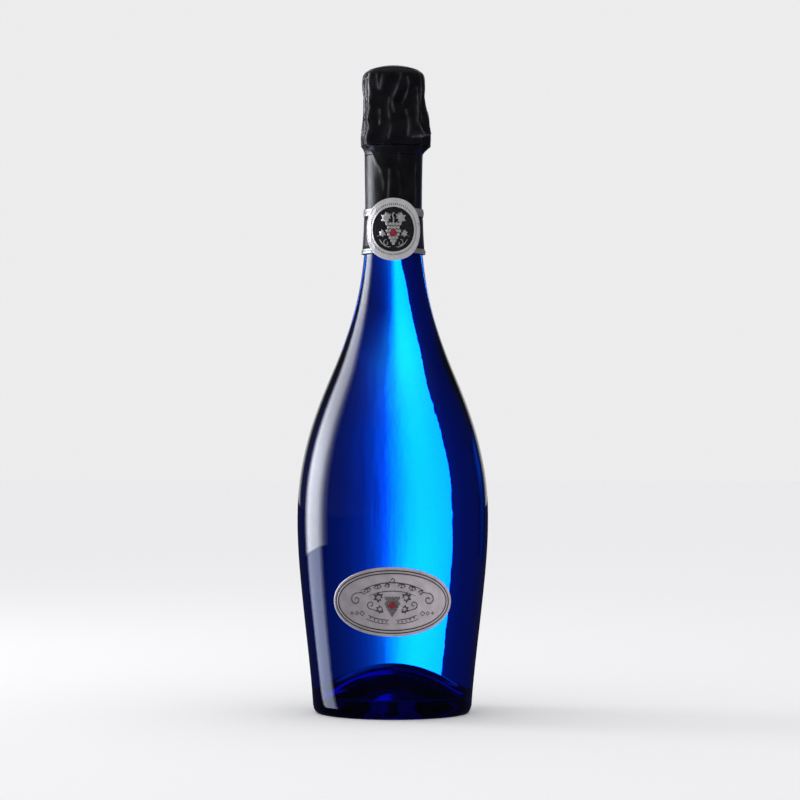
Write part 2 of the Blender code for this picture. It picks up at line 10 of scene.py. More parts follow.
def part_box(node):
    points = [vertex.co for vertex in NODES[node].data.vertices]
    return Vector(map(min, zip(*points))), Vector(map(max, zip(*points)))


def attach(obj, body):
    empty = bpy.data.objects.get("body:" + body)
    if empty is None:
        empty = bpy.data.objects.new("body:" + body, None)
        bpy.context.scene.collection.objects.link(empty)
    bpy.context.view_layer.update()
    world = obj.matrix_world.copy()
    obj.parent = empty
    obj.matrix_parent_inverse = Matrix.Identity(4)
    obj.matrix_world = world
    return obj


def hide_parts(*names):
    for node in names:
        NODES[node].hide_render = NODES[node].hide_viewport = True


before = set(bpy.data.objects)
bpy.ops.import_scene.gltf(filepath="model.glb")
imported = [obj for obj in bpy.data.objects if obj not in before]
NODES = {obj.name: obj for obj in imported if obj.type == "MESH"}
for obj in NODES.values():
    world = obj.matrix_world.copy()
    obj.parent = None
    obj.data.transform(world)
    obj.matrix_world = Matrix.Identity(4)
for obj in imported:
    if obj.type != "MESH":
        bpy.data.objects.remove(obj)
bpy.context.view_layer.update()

# Sizes of the glass, as in the CAD model
GLASS_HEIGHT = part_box("glass_bottle")[1].z
BELLY_HEIGHT = 0.0936
BELLY_RADIUS = 0.04675
FOOT_RADIUS = 0.0389
HEEL_HEIGHT = 0.0054
CONTACT_RADIUS = 0.0363
PUNT_RADIUS = 0.0312
PUNT_HEIGHT = 0.0205
NECK_RADIUS = 0.0133
NECK_LENGTH = 0.0510
BORE_RADIUS = 0.00925
WALL = 0.0045
BASE_WALL = 0.0055
TROUGH_RADIUS = 0.0325
TROUGH_HEIGHT = 0.0085
TROUGH_CORNER = 0.0050
TROUGH_TOP = TROUGH_HEIGHT + TROUGH_CORNER
BEAD_RADIUS = 0.0137
BEAD_LENGTH = 0.0060
WAIST_RADIUS = 0.0129
RING_RADIUS = 0.0143
RING_DROP = 0.0120
RING_LENGTH = 0.0075
GROOVE_RADIUS = 0.0126
GROOVE_LENGTH = 0.0055
FINISH_ROUND = 0.0010
GAP = 0.0003
NECK_START = GLASS_HEIGHT - NECK_LENGTH
RING_TOP = GLASS_HEIGHT - RING_DROP
RING_BOTTOM = RING_TOP - RING_LENGTH
BELL_POWER = 1.25
lower_shares = [
    (0.0, 0.0), (0.111, 0.102), (0.222, 0.229), (0.333, 0.369), (0.444, 0.510),
    (0.556, 0.650), (0.667, 0.777), (0.778, 0.892), (0.889, 0.968), (1.0, 1.0),
]
shoulder_shares = [
    (0.0, 1.0), (0.063, 0.994), (0.125, 0.975), (0.188, 0.924), (0.251, 0.858),
    (0.313, 0.771), (0.376, 0.664), (0.439, 0.544), (0.501, 0.416), (0.564, 0.308),
    (0.627, 0.209), (0.689, 0.133), (0.752, 0.078), (0.808, 0.046), (0.853, 0.021),
    (0.904, 0.006), (1.0, 0.0),
]

# The wine reaches a hair into the glass, so that no film of air shines between them
WINE_OVERLAP = 0.00005
CAVITY_EASE = 0.0006
TURN_STEPS = 160
WALL_STEPS = 110
BELL_STEPS = 28

# The outline is evened out over this spread, in these steps
FAIR_STEP = 0.0005
FAIR_SPREAD = 0.006

# Camera: level with the lower half of the bottle, its axis a little left of the middle
CAMERA_DISTANCE = 1.32
CAMERA_HEIGHT = 0.138
CAMERA_SIDE = 0.0034
CAMERA_AIM_HEIGHT = 0.1527
CAMERA_LENS = 121.2
CAMERA_ROLL = 0.0024
SENSOR_WIDTH = 36.0

# Light straight through the full bottle passes six surfaces. Stray images inside it are dimmed.
STRAIGHT_PASSES = 6
STRAY_SHARE = 0.05

# The card behind the bottle: at each height, its half width, how far its fading side is drawn out
# and how azure it is there, then its light and its azure from left to right
CARD_DISTANCE = 0.150
card_edges = [
    (0.006, 0.0245, 1.35, 0.8), (0.041, 0.0248, 1.3, 0.8), (0.075, 0.0236, 1.05, 0.5),
    (0.098, 0.0228, 1.0, 0.3), (0.113, 0.0232, 1.65, 0.5), (0.128, 0.0270, 2.7, 1.0),
    (0.152, 0.0268, 2.1, 1.0), (0.177, 0.0237, 1.5, 0.8), (0.201, 0.0197, 2.3, 0.8),
    (0.220, 0.0116, 5.5, 1.0), (0.360, 0.0100, 6.0, 1.0),
]
card_glows = [
    (-20.0, 0.04, 0.0), (-4.0, 0.08, 0.0), (-1.5, 0.15, 0.0), (-1.002, 0.25, 0.0),
    (-1.0, 18.5, 0.25), (-0.72, 20.0, 0.25), (-0.48, 21.5, 0.25), (-0.30, 21.0, 0.25),
    (-0.17, 15.0, 0.5), (-0.05, 7.5, 0.8), (0.07, 1.8, 1.0), (0.19, 0.85, 0.7), (0.33, 0.45, 0.4),
    (0.52, 0.27, 0.3), (0.80, 0.18, 0.3), (1.30, 0.12, 0.3), (4.0, 0.08, 0.3), (20.0, 0.04, 0.3),
]
AZURE = (1.0, 2.3, 0.6)

# Sheets that gloss sees: the left strip, a faint blue edge at the right, and the strip's dim image
# on the floor. Each has its light at each height, or for the floor at each distance out from the
# bottle, and shares of it in degrees from the front, to the left or with a minus to the right.
SHEET_REACH = 0.80
SHEEN_HEIGHT = 0.0004
strip_levels = [
    (0.0, 7.2), (0.10, 8.0), (0.25, 8.6), (0.40, 7.0), (0.50, 5.6), (0.62, 5.0), (0.85, 4.5),
]
strip_shares = [
    (81.0, 0.0), (84.0, 0.03), (89.0, 0.12), (94.0, 0.43), (98.0, 0.80), (102.0, 1.0), (119.0, 1.0),
    (122.0, 0.75), (125.0, 0.35), (128.0, 0.08), (131.0, 0.0),
]
edge_levels = [(0.0, 0.25), (0.12, 0.45), (0.20, 1.25), (0.255, 1.1), (0.285, 0.0)]
edge_shares = [(-124.0, 0.0), (-130.0, 0.55), (-135.0, 1.0), (-140.0, 0.55), (-146.0, 0.0)]
sheen_levels = [(0.008, 2.9), (SHEET_REACH, 2.9)]
sheen_shares = [(93.0, 0.0), (97.0, 0.3), (101.0, 1.0), (123.0, 1.0), (127.0, 0.4), (130.0, 0.0)]

# The lamp at the left, and the floor
LAMP_PLACE = (-0.80, 0.24, 0.50)
LAMP_AIM = (0.0, 0.0, 0.13)
LAMP_SIZE = (0.34, 0.60)
LAMP_POWER = 1.8
FLOOR_REACH = 6.0

# The room that gloss sees: glow against the direction's share from -1 (0.0) to +1 (1.0)
room_glows = [
    ("Y", [(0.0, 0.02), (0.93, 0.02), (0.975, 0.78), (1.0, 0.82)]),
    ("X", [(0.0, 0.05), (0.12, 0.03), (0.3, 0.0)]),
    ("Z", [(0.0, 0.0), (0.75, 0.0), (0.92, 0.12), (1.0, 0.18)]),
]


def between(low, high, count):
    """Evenly spaced values from low to high, both included."""
    return [low + (high - low) * step / (count - 1) for step in range(count)]


def smooth(table, x):
    """Cubic through a table of (x, y) pairs, level at both ends."""
    slopes = [(y1 - y0) / (x1 - x0) for (x0, y0), (x1, y1) in zip(table, table[2:])]
    slopes = [0.0, *slopes, 0.0]
    k = 0
    while k < len(table) - 2 and x > table[k + 1][0]:
        k += 1
    x0, y0 = table[k]
    x1, y1 = table[k + 1]
    width = x1 - x0
    t = min(max((x - x0) / width, 0.0), 1.0)
    start = (1 + 2 * t) * (1 - t) ** 2 * y0 + t * (1 - t) ** 2 * width * slopes[k]
    end = t * t * (3 - 2 * t) * y1 + t * t * (t - 1) * width * slopes[k + 1]
    return start + end


def drawn_radius(z):
    """Radius of the glass outside as drawn in the CAD model, run on evenly under the heel."""
    if z < HEEL_HEIGHT:
        return 2 * FOOT_RADIUS - drawn_radius(2 * HEEL_HEIGHT - z)
    if z <= BELLY_HEIGHT:
        share = (z - HEEL_HEIGHT) / (BELLY_HEIGHT - HEEL_HEIGHT)
        return FOOT_RADIUS + (BELLY_RADIUS - FOOT_RADIUS) * smooth(lower_shares, share)
    share = (z - BELLY_HEIGHT) / (NECK_START - BELLY_HEIGHT)
    return NECK_RADIUS + (BELLY_RADIUS - NECK_RADIUS) * smooth(shoulder_shares, share)


def fair_outline():
    """The drawn outline with its small waves evened out, so that mirrored lights run smoothly."""
    reach = round(3 * FAIR_SPREAD / FAIR_STEP)
    weights = [exp(-((k * FAIR_STEP / FAIR_SPREAD) ** 2) / 2) for k in range(-reach, reach + 1)]
    total = sum(weights)
    count = round((NECK_START + 3 * FAIR_SPREAD - HEEL_HEIGHT) / FAIR_STEP)
    heights = [HEEL_HEIGHT + (k - reach) * FAIR_STEP for k in range(count + 2 * reach + 1)]
    drawn = [drawn_radius(z) for z in heights]
    return [
        sum(weight * r for weight, r in zip(weights, drawn[k:])) / total
        for k in range(count + 1)
    ]


fair_radii = fair_outline()


def outer_radius(z):
    """Radius of the glass outside, from the heel to the straight neck."""
    place = min(max((z - HEEL_HEIGHT) / FAIR_STEP, 0.0), len(fair_radii) - 1.001)
    k = int(place)
    return fair_radii[k] + (fair_radii[k + 1] - fair_radii[k]) * (place - k)


def inner_radius(z):
    """Radius of the cavity, eased into the bore where the neck begins."""
    body = outer_radius(z) - WALL
    return (body + BORE_RADIUS + sqrt((body - BORE_RADIUS) ** 2 + CAVITY_EASE ** 2)) / 2


# Materials


def rgba(shade):
    """A colour, or a grey level, with full cover."""
    return (*shade, 1.0) if isinstance(shade, tuple) else (shade, shade, shade, 1.0)


class Look:
    """The nodes of a material or a world. An input takes a value or another node's output."""

    def __init__(self, owner):
        owner.use_nodes = True
        self.owner = owner
        self.nodes = owner.node_tree.nodes
        self.links = owner.node_tree.links
        self.shader = self.nodes.get("Principled BSDF")
        self.out = self.nodes.get("Material Output")

    def feed(self, node, inputs):
        for name, value in inputs.items():
            socket = node.inputs[name]
            if isinstance(value, bpy.types.NodeSocket):
                self.links.new(value, socket)
            else:
                socket.default_value = rgba(value) if socket.type == "RGBA" else value

    def add(self, kind, inputs=None, **settings):
        node = self.nodes.new("ShaderNode" + kind)
        for name, value in settings.items():
            setattr(node, name, value)
        self.feed(node, inputs or {})
        return node

    def paint(self, inputs):
        self.feed(self.shader, inputs)

    def show(self, shader):
        self.links.new(shader, self.out.inputs["Surface"])

    def math(self, operation, *values):
        return self.add("Math", dict(enumerate(values)), operation=operation).outputs["Value"]

    def mix(self, share, first, second, blend="MIX"):
        """Two colours blended by a share."""
        inputs = {"Factor": share, "A": first, "B": second}
        return self.add("Mix", inputs, data_type="RGBA", blend_type=blend).outputs["Result"]

    def marked(self, name):
        """The values that mark wrote on the mesh."""
        return self.add("Attribute", attribute_name=name).outputs["Fac"]

    def noise(self, scale, detail=4.0, stretch=(1.0, 1.0, 1.0)):
        """Noise over object space, stretched along each axis."""
        place = self.add("TexCoord").outputs["Object"]
        spot = self.add("Mapping", {"Vector": place, "Scale": stretch}).outputs["Vector"]
        inputs = {"Vector": spot, "Scale": scale, "Detail": detail}
        return self.add("TexNoise", inputs).outputs["Fac"]

    def ramp(self, source, stops):
        """A ramp of colours or grey levels over a value."""
        node = self.add("ValToRGB", {"Fac": source})
        elements = node.color_ramp.elements
        for k, end in ((0, stops[0]), (1, stops[-1])):
            elements[k].position = end[0]
            elements[k].color = rgba(end[1])
        for position, shade in stops[1:-1]:
            elements.new(position).color = rgba(shade)
        return node.outputs["Color"]

    def cloudy(self, source, low, high):
        """From one shade to another as a noise rises."""
        return self.ramp(source, [(0.3, low), (0.7, high)])

    def bump(self, height, strength, distance):
        inputs = {"Height": height, "Strength": strength, "Distance": distance}
        self.paint({"Normal": self.add("Bump", inputs).outputs["Normal"]})

    def clear(self, tint, ior, depth_tint, density):
        """Let light through, bent at the surface and tinted along its way."""
        self.paint({"Base Color": tint, "Roughness": 0.0, "IOR": ior, "Transmission Weight": 1.0})
        depth = self.add("VolumeAbsorption", {"Color": depth_tint, "Density": density})
        self.links.new(depth.outputs["Volume"], self.out.inputs["Volume"])


def new_look(name):
    return Look(bpy.data.materials.new(name))


def glass_finish():
    """Cobalt glass: tinted where light enters and leaves it, and darker along its wall."""
    look = new_look("cobalt_glass")
    cloud = look.noise(60.0, 2.0, (1.0, 1.0, 0.1))
    tint = look.cloudy(cloud, (0.02, 0.33, 0.97), (0.03, 0.37, 0.98))
    look.clear(tint, 1.52, (0.05, 0.30, 0.91), 200.0)
    look.bump(look.noise(120.0, 3.0, (1.0, 1.0, 0.03)), 0.06, 0.0006)
    return look.owner


def wine_finish():
    """Clear wine, a little golden in its depth, on the slightly uneven inner wall of the glass."""
    look = new_look("wine")
    look.clear((1.0, 1.0, 1.0), 1.34, (0.95, 0.88, 0.55), 3.0)
    look.bump(look.noise(420.0, 2.0, (1.0, 1.0, 0.35)), 1.0, 0.000014)
    return look.owner


# Meshes


def placed(name, data):
    """A new object in the scene."""
    item = bpy.data.objects.new(name, data)
    bpy.context.scene.collection.objects.link(item)
    return item


def mesh_piece(name, points, faces, finish, body, slot, *replaced):
    """A smooth mesh piece that rides on a body and stands for CAD nodes."""
    mesh = bpy.data.meshes.new(name)
    mesh.from_pydata(points, [], faces)
    mesh.validate()
    shape = bmesh.new()
    shape.from_mesh(mesh)
    bmesh.ops.remove_doubles(shape, verts=shape.verts, dist=1e-7)
    bmesh.ops.recalc_face_normals(shape, faces=shape.faces)
    shape.to_mesh(mesh)
    shape.free()
    mesh.shade_smooth()
    mesh.materials.append(finish)
    item = placed(name, mesh)
    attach(item, body)
    if replaced:
        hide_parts(*replaced)
    return item


def mark(item, name, values):
    """Write one value for each point of a piece, for its material to read."""
    item.data.attributes.new(name, "FLOAT", "POINT").data.foreach_set("value", values)


def quads(rows, width, ring=True, loop=False, capped=False, first=0):
    """Faces between rows of points.

    A ring closes each row, and a loop joins the last row to the first. Caps close both ends.
    """
    faces = []
    for row in range(rows if loop else rows - 1):
        here = first + row * width
        there = first + (row + 1) % rows * width
        for k in range(width if ring else width - 1):
            side = (k + 1) % width
            faces.append((here + k, here + side, there + side, there + k))
    if capped:
        ends = (first, first + (rows - 1) * width)
        faces += [tuple(range(end, end + width)) for end in ends]
    return faces


def revolve(name, outline, steps, finish, body, slot, *replaced):
    """A closed surface turned from an outline of (radius, height).

    The outline closes on itself, or starts and ends on the axis.
    """
    points = []
    for k in range(steps):
        turn = 2 * pi * k / steps
        points += [(r * cos(turn), r * sin(turn), z) for r, z in outline]
    faces = quads(steps, len(outline), ring=outline[0][0] > 0.0, loop=True)
    return mesh_piece(name, points, faces, finish, body, slot, *replaced)


def bell(radius, height, base, count):
    """Points of a bell from its top on the axis to its rim."""
    rises = [(share, (1 - share * share) ** BELL_POWER) for share in between(0.0, 1.0, count)]
    return [(radius * share, base + height * rise) for share, rise in rises]


def quarter(centre, width, height, count):
    """A quarter ellipse from straight below the centre round to beside it."""
    return [
        (centre[0] + width * sin(a), centre[1] - height * cos(a))
        for a in between(0.0, pi / 2, count)
    ]


def rounded(points, radius, count):
    """A chain of points with its inner corners rounded."""
    result = [points[0]]
    for before, here, after in zip(points, points[1:], points[2:]):
        a, b, c = Vector(before), Vector(here), Vector(after)
        reach = min(radius, (a - b).length / 2.1, (c - b).length / 2.1)
        start = b + (a - b).normalized() * reach
        end = b + (c - b).normalized() * reach
        for t in between(0.0, 1.0, count):
            result.append(tuple(start * (1 - t) ** 2 + b * 2 * t * (1 - t) + end * t * t))
    return result + [points[-1]]


def cavity_outline(grow):
    """The cavity's outline from the middle of its floor up its wall, out by grow."""
    crest = PUNT_HEIGHT + BASE_WALL - TROUGH_HEIGHT
    points = [(r, z - grow) for r, z in bell(TROUGH_RADIUS, crest, TROUGH_HEIGHT, BELL_STEPS)]
    width = inner_radius(TROUGH_TOP) - TROUGH_RADIUS + grow
    return points + quarter((TROUGH_RADIUS, TROUGH_TOP - grow), width, TROUGH_CORNER, 9)[1:]


def make_glass():
    inside = [(inner_radius(z), z) for z in between(TROUGH_TOP, NECK_START, WALL_STEPS)][1:]
    top = GLASS_HEIGHT
    groove = RING_BOTTOM - GROOVE_LENGTH
    mouth = [
        (BORE_RADIUS, NECK_START + WALL), (BORE_RADIUS, top), (BEAD_RADIUS, top),
        (BEAD_RADIUS, top - BEAD_LENGTH), (WAIST_RADIUS, top - BEAD_LENGTH),
        (WAIST_RADIUS, RING_TOP), (RING_RADIUS, RING_TOP), (RING_RADIUS, RING_BOTTOM),
        (GROOVE_RADIUS, RING_BOTTOM), (GROOVE_RADIUS, groove),
        (NECK_RADIUS, groove - FINISH_ROUND), (NECK_RADIUS, NECK_START + WALL),
    ]
    outside = [(outer_radius(z), z) for z in between(NECK_START, HEEL_HEIGHT, 200)]
    width = FOOT_RADIUS - CONTACT_RADIUS
    heel = quarter((CONTACT_RADIUS, HEEL_HEIGHT), width, HEEL_HEIGHT, 10)
    punt = bell(PUNT_RADIUS, PUNT_HEIGHT, 0.0, BELL_STEPS)
    outline = cavity_outline(0.0) + inside + rounded(mouth, FINISH_ROUND, 5)
    outline += outside + heel[::-1][1:] + punt[::-1]
    revolve("glass", outline, TURN_STEPS, glass_finish(), "bottle", "glass", "glass_bottle")


def make_wine():
    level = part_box("wine")[1].z
    rise = between(TROUGH_TOP, level, WALL_STEPS)[1:]
    wall = [(inner_radius(z) + WINE_OVERLAP, z) for z in rise]
    outline = cavity_outline(WINE_OVERLAP) + wall + [(0.0, level)]
    revolve("wine_fill", outline, TURN_STEPS, wine_finish(), "bottle", "wine", "wine")


# Foil capsule. Angles are degrees from the front towards +X.

FOIL = 0.00025
CAPSULE_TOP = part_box("foil_top_disc")[1].z
HOOD_RIM = 0.31430
HOOD_LIP = 0.27675
STRIP_TOP = 0.27645
STRIP_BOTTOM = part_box("tear_strip")[0].z
SKIRT_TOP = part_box("foil_skirt")[1].z
SKIRT_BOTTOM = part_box("foil_skirt")[0].z
SKIRT_FLARE = 0.0004
DISC_RADIUS = 0.0117
DISC_LAP = 0.0001
DISC_DOME = 0.0022
LEGS = (45, 135, 225, 315)
LEG_FOLD = 12
LOOP = 90
LOOP_FOLD = 20

# The foil's inner radius at each height: plain, over a leg and over the loop
foil_rows = [
    (0.27245, 0.01400, 0.01400, 0.01400), (0.27400, 0.01412, 0.01465, 0.01470),
    (0.27530, 0.01460, 0.01580, 0.01595), (0.27645, 0.01530, 0.01720, 0.01725),
    (0.27675, 0.01560, 0.01770, 0.01770), (0.27800, 0.01570, 0.01770, 0.01770),
    (0.28150, 0.01565, 0.01770, 0.01775), (0.28525, 0.01522, 0.01645, 0.01765),
    (0.29285, 0.01460, 0.01645, 0.01672), (0.29500, 0.01445, 0.01605, 0.01600),
    (0.29850, 0.01442, 0.01605, 0.01520), (0.30150, 0.01450, 0.01605, 0.01475),
    (0.30433, 0.01490, 0.01605, 0.01490), (0.30900, 0.01500, 0.01605, 0.01500),
    (0.31170, 0.01462, 0.01567, 0.01462), (0.31320, 0.01355, 0.01407, 0.01355),
    (0.31430, 0.01200, 0.01200, 0.01200),
]

# The foil unrolled, in mm: its scale, the painted highlight line along a crease, and the lowest
# share of a crease's rise at its ends
FOIL_MEAN_RADIUS = 15.2
MM_PER_DEGREE = FOIL_MEAN_RADIUS * pi / 180
PAINTED_SHINE_WIDTH = 0.28
PAINTED_SHINE_LIMIT = 1.2
CREASE_END = 0.35

# Pressed facets: their stretch upwards, where they fade under the hood, and their least share
CRUMPLE_STRETCH = 0.4
CRUMPLE_LOW = 0.268
CRUMPLE_FADE = 0.012
CRUMPLE_LEAST = 0.22

# Creases of the foil: points (angle, height in mm), rise and its width on either side in mm
creases = [
    ([(-32, 311.5), (-27, 301.5), (-21, 311)], 0.50, 0.9, 1.8),
    ([(-44, 313), (-47, 307), (-43, 303), (-46, 298), (-44, 294), (-48, 289), (-44, 284),
      (-48, 277)], 0.55, 0.5, 2.4),
    ([(-27, 294), (-25, 290), (-26, 286)], 0.60, 0.9, 1.0),
    ([(14, 311.6), (10, 307), (4, 302.5), (-3, 299), (-2, 295.5), (2, 292)], 0.42, 0.5, 1.3),
    ([(25, 310), (28, 305.5), (23, 300), (14, 296)], 0.36, 1.0, 0.5),
    ([(-78, 309), (-66, 311), (-54, 309.4), (-47, 311)], 0.45, 0.4, 0.6),
    ([(-64, 311.5), (-58, 307), (-66, 302.5), (-60, 298)], 0.42, 0.4, 0.7),
    ([(-82, 305), (-73, 301), (-77, 295), (-70, 290)], 0.40, 0.6, 0.4),
    ([(-80, 285), (-68, 280.4), (-56, 284)], 0.60, 0.5, 0.8),
    ([(-70, 289), (-62, 285.5), (-64, 281)], 0.50, 0.4, 0.8),
    ([(42, 289), (56, 284.6), (68, 282.8)], 0.75, 0.7, 1.8),
    ([(30, 280.2), (56, 281.0), (84, 283.4)], 0.75, 1.5, 0.6),
    ([(43, 305), (46, 297), (44, 287)], 0.45, 0.5, 1.2),
    ([(55, 306), (58, 298), (60, 288)], 0.40, 1.3, 0.5),
    ([(-8, 300), (-10, 292), (-4, 286), (-9, 279)], 0.35, 0.5, 1.5),
    ([(22, 294), (28, 288), (24, 280)], 0.40, 1.6, 0.5),
    ([(75, 309), (80, 300), (76, 292)], 0.35, 0.5, 1.4),
    ([(-80, 308), (-84, 298), (-78, 288), (-82, 279)], 0.35, 1.4, 0.5),
    ([(-64, 306), (-62, 297), (-66, 290)], 0.20, 0.5, 0.9),
    ([(-50, 275), (-43, 272), (-36, 268.5), (-28, 265), (-22, 261), (-20, 256)], 0.50, 0.7, 1.8),
    ([(-8.5, 265), (-9, 258), (-11, 248)], 0.55, 0.4, 0.6),
    ([(-40, 269), (-33, 267.5), (-26, 264.5), (-21, 260), (-19, 254)], 0.55, 0.4, 0.7),
    ([(12, 273), (8, 266), (14, 258), (11, 247)], 0.14, 0.8, 2.0),
    ([(52, 273), (47, 264), (50, 252), (46, 243)], 0.16, 2.0, 0.7),
    ([(-82, 273), (-86, 262), (-80, 248)], 0.14, 0.7, 1.6),
    ([(110, 273), (116, 262), (108, 250), (112, 242)], 0.22, 0.6, 1.8),
    ([(150, 272), (158, 260), (152, 246)], 0.20, 1.6, 0.6),
    ([(188, 273), (184, 262), (190, 249), (186, 242)], 0.24, 0.5, 1.2),
    ([(222, 272), (228, 263), (220, 252)], 0.18, 1.5, 0.5),
    ([(252, 273), (246, 262), (254, 246)], 0.18, 0.5, 1.4),
]


def fill_creases():
    """Creases round the back, in a fixed but irregular order."""
    result = []
    for k in range(12):
        angle = 100 + 14 * k + 5 * sin(5.1 * k)
        top = 311 - 3 * (1 + sin(2.3 * k))
        bottom = 279 + 5 * (1 + sin(3.7 * k + 1))
        middle = (top + bottom) / 2
        bend = 6 * sin(1.9 * k + 2)
        rise = 0.30 + 0.15 * sin(4.3 * k)
        chain = [(angle, top), (angle + bend, middle), (angle - bend / 2, bottom)]
        result.append((chain, rise, 0.5, 1.5))
    return result


def near(degrees, centre, fold, power=2):
    """How strongly a direction belongs to a fold round a centre direction, from 0 to 1."""
    away = (degrees - centre + 180) % 360 - 180
    return exp(-((away / fold) ** power))


def foil_inside(angle, z):
    """The inner radius of the foil, as in the CAD model, pushed out by the legs and the loop."""
    if z < STRIP_BOTTOM:
        flare = SKIRT_FLARE * ((z - SKIRT_BOTTOM) / (SKIRT_TOP - SKIRT_BOTTOM)) ** 2
        return outer_radius(min(z, GLASS_HEIGHT)) + GAP + flare
    plain, over_leg, over_loop = (
        smooth([(row[0], row[k]) for row in foil_rows], z) for k in (1, 2, 3)
    )
    leg = max(near(angle, centre, LEG_FOLD) for centre in LEGS)
    loop = near(angle, LOOP, LOOP_FOLD, 4)
    return max(plain + (over_leg - plain) * leg, plain + (over_loop - plain) * loop)


def crease_height(spot, chain, rise, left, right):
    """Height of a crease at a spot on the unrolled foil, all in mm, and its painted highlight there.
    """
    best = 1e9
    side = 1.0
    reach = 0.0
    for k, (a, b) in enumerate(zip(chain, chain[1:])):
        along = b - a
        away = spot - a
        t = min(max(away.dot(along) / along.dot(along), 0.0), 1.0)
        distance = (away - along * t).length
        if distance < best:
            best = distance
            side = along.cross(away)
            reach = (k + t) / (len(chain) - 1)
    width = left if side > 0 else right
    fade = sqrt(max(sin(pi * reach), 0.0))
    # Painted highlight: a patchy grey line along the crease, standing in for light caught by the
    # fold
    shine_patches = 0.70 + 1.2 * noise.noise(Vector((spot.x * 0.35, spot.y * 0.22, rise * 40)))
    shine_width = PAINTED_SHINE_WIDTH if width < PAINTED_SHINE_LIMIT else PAINTED_SHINE_WIDTH * 2
    painted_highlight = rise * fade * min(max(shine_patches, 0.0), 1.0) * exp(-best / shine_width)
    return rise * (CREASE_END + (1 - CREASE_END) * fade) * exp(-best / width), painted_highlight


def crumple(angle, z):
    """Facets of pressed foil, in mm. They fade out down the skirt."""
    turn = radians(angle)
    around = Vector((sin(turn), cos(turn), 0.0)) * FOIL_MEAN_RADIUS
    spot = around + Vector((0.0, 0.0, z * 1000 * CRUMPLE_STRETCH))
    coarse = noise.voronoi(spot * 0.16)[0]
    fine = noise.voronoi(spot * 0.4 + Vector((7.1, 3.3, 1.7)))[0]
    facets = min(coarse[1] - coarse[0], 0.5) * 0.5 + min(fine[1] - fine[0], 0.4) * 0.10
    facets += 0.06 * noise.noise(spot + Vector((3.7, 9.1, 5.3)))
    return facets * min(max((z - CRUMPLE_LOW) / CRUMPLE_FADE, CRUMPLE_LEAST), 1.0)


def unroll(chain):
    """A crease's points in mm on the unrolled foil, with its corners cut twice."""
    flat = [Vector((angle * MM_PER_DEGREE, z)) for angle, z in chain]
    for turn in range(2):
        cut = [a.lerp(b, share) for a, b in zip(flat, flat[1:]) for share in (0.25, 0.75)]
        flat = [flat[0], *cut, flat[-1]]
    return flat


def lay_creases():
    """Every crease unrolled, each with the box that its slopes reach."""
    laid = []
    for chain, rise, left, right in creases + fill_creases():
        path = unroll(chain)
        reach = 4 * max(left, right)
        across, up = zip(*path)
        box = (min(across) - reach, max(across) + reach, min(up) - reach, max(up) + reach)
        laid.append((path, rise, left, right, box))
    return laid


def highest_crease(laid, u, z):
    """The rise of the highest crease at a place, and how strong the painted highlight is there."""
    lift = 0.0
    painted_shine = 0.0
    for path, rise, left, right, (low_u, high_u, low_z, high_z) in laid:
        if low_z < z < high_z:
            for place in (u, u - 360 * MM_PER_DEGREE):
                if low_u < place < high_u:
                    here, painted_highlight = crease_height(Vector((place, z)), path, rise, left, right)
                    lift = max(lift, here)
                    painted_shine = max(painted_shine, painted_highlight)
    return lift, painted_shine


def foil_sheet(laid, name, low, high, rows, steps, finish, body, *replaced):
    """A creased sleeve of foil between two heights. Its rows run down outside and up inside."""
    outside = []
    inside = []
    painted_crease_highlight = []
    for z in between(high, low, rows):
        inner_row = []
        for k in range(steps):
            angle = 360 * k / steps
            lift, painted_shine = highest_crease(laid, angle * MM_PER_DEGREE, z * 1000)
            painted_crease_highlight.append(painted_shine)
            inner = foil_inside(angle, z)
            outer = inner + FOIL + (lift + crumple(angle, z)) * 0.001
            turn = radians(angle)
            outside.append((outer * sin(turn), -outer * cos(turn), z))
            inner_row.append((inner * sin(turn), -inner * cos(turn), z))
        inside = inner_row + inside
    faces = quads(2 * rows, steps, loop=True)
    item = mesh_piece(name, outside + inside, faces, finish, body, "foil", *replaced)
    # The painted highlight along the creases, for the foil's material to mix in as grey
    mark(item, "painted_crease_highlight", painted_crease_highlight + [0.0] * len(inside))


def foil_finish(name, roughness):
    """Black lacquered foil: fine grain, duller in patches, and a painted grey highlight along its
    creases.
    """
    look = new_look(name)
    patches = look.noise(160.0, 3.0)
    lacquer = look.cloudy(patches, (0.0025, 0.0025, 0.004), (0.006, 0.006, 0.009))
    look.paint({
        # The grey mixed in along the creases is a painted highlight
        "Base Color": look.mix(look.marked("painted_crease_highlight"), lacquer, (0.17, 0.17, 0.19)),
        "Roughness": look.cloudy(patches, roughness - 0.05, roughness + 0.05),
        "IOR": 1.45,
    })
    look.bump(look.noise(700.0), 0.05, 0.0001)
    return look.owner


def make_foil():
    finish = foil_finish("black_foil", 0.36)
    hood_finish = foil_finish("hood_foil", 0.27)
    laid = lay_creases()
    for sheet in (
        ("capsule_hood", HOOD_LIP, HOOD_RIM, 160, 420, hood_finish, "hood", "foil_hood"),
        ("capsule_strip", STRIP_BOTTOM, STRIP_TOP, 18, 420, finish, "bottle", "tear_strip"),
        ("capsule_skirt", SKIRT_BOTTOM, SKIRT_TOP, 90, 300, finish, "bottle", "foil_skirt"),
    ):
        foil_sheet(laid, *sheet)
    radii = between(0.0, DISC_RADIUS + DISC_LAP, 12)
    disc = [(r, CAPSULE_TOP - DISC_DOME * (r / DISC_RADIUS) ** 2) for r in radii]
    under = [(r, z - FOIL) for r, z in reversed(disc)]
    revolve("capsule_disc", disc + under, 96, hood_finish, "hood", "foil", "foil_top_disc")


# Labels. Reliefs are drawn flat, in mm from the label's centre, and then bent round the bottle.

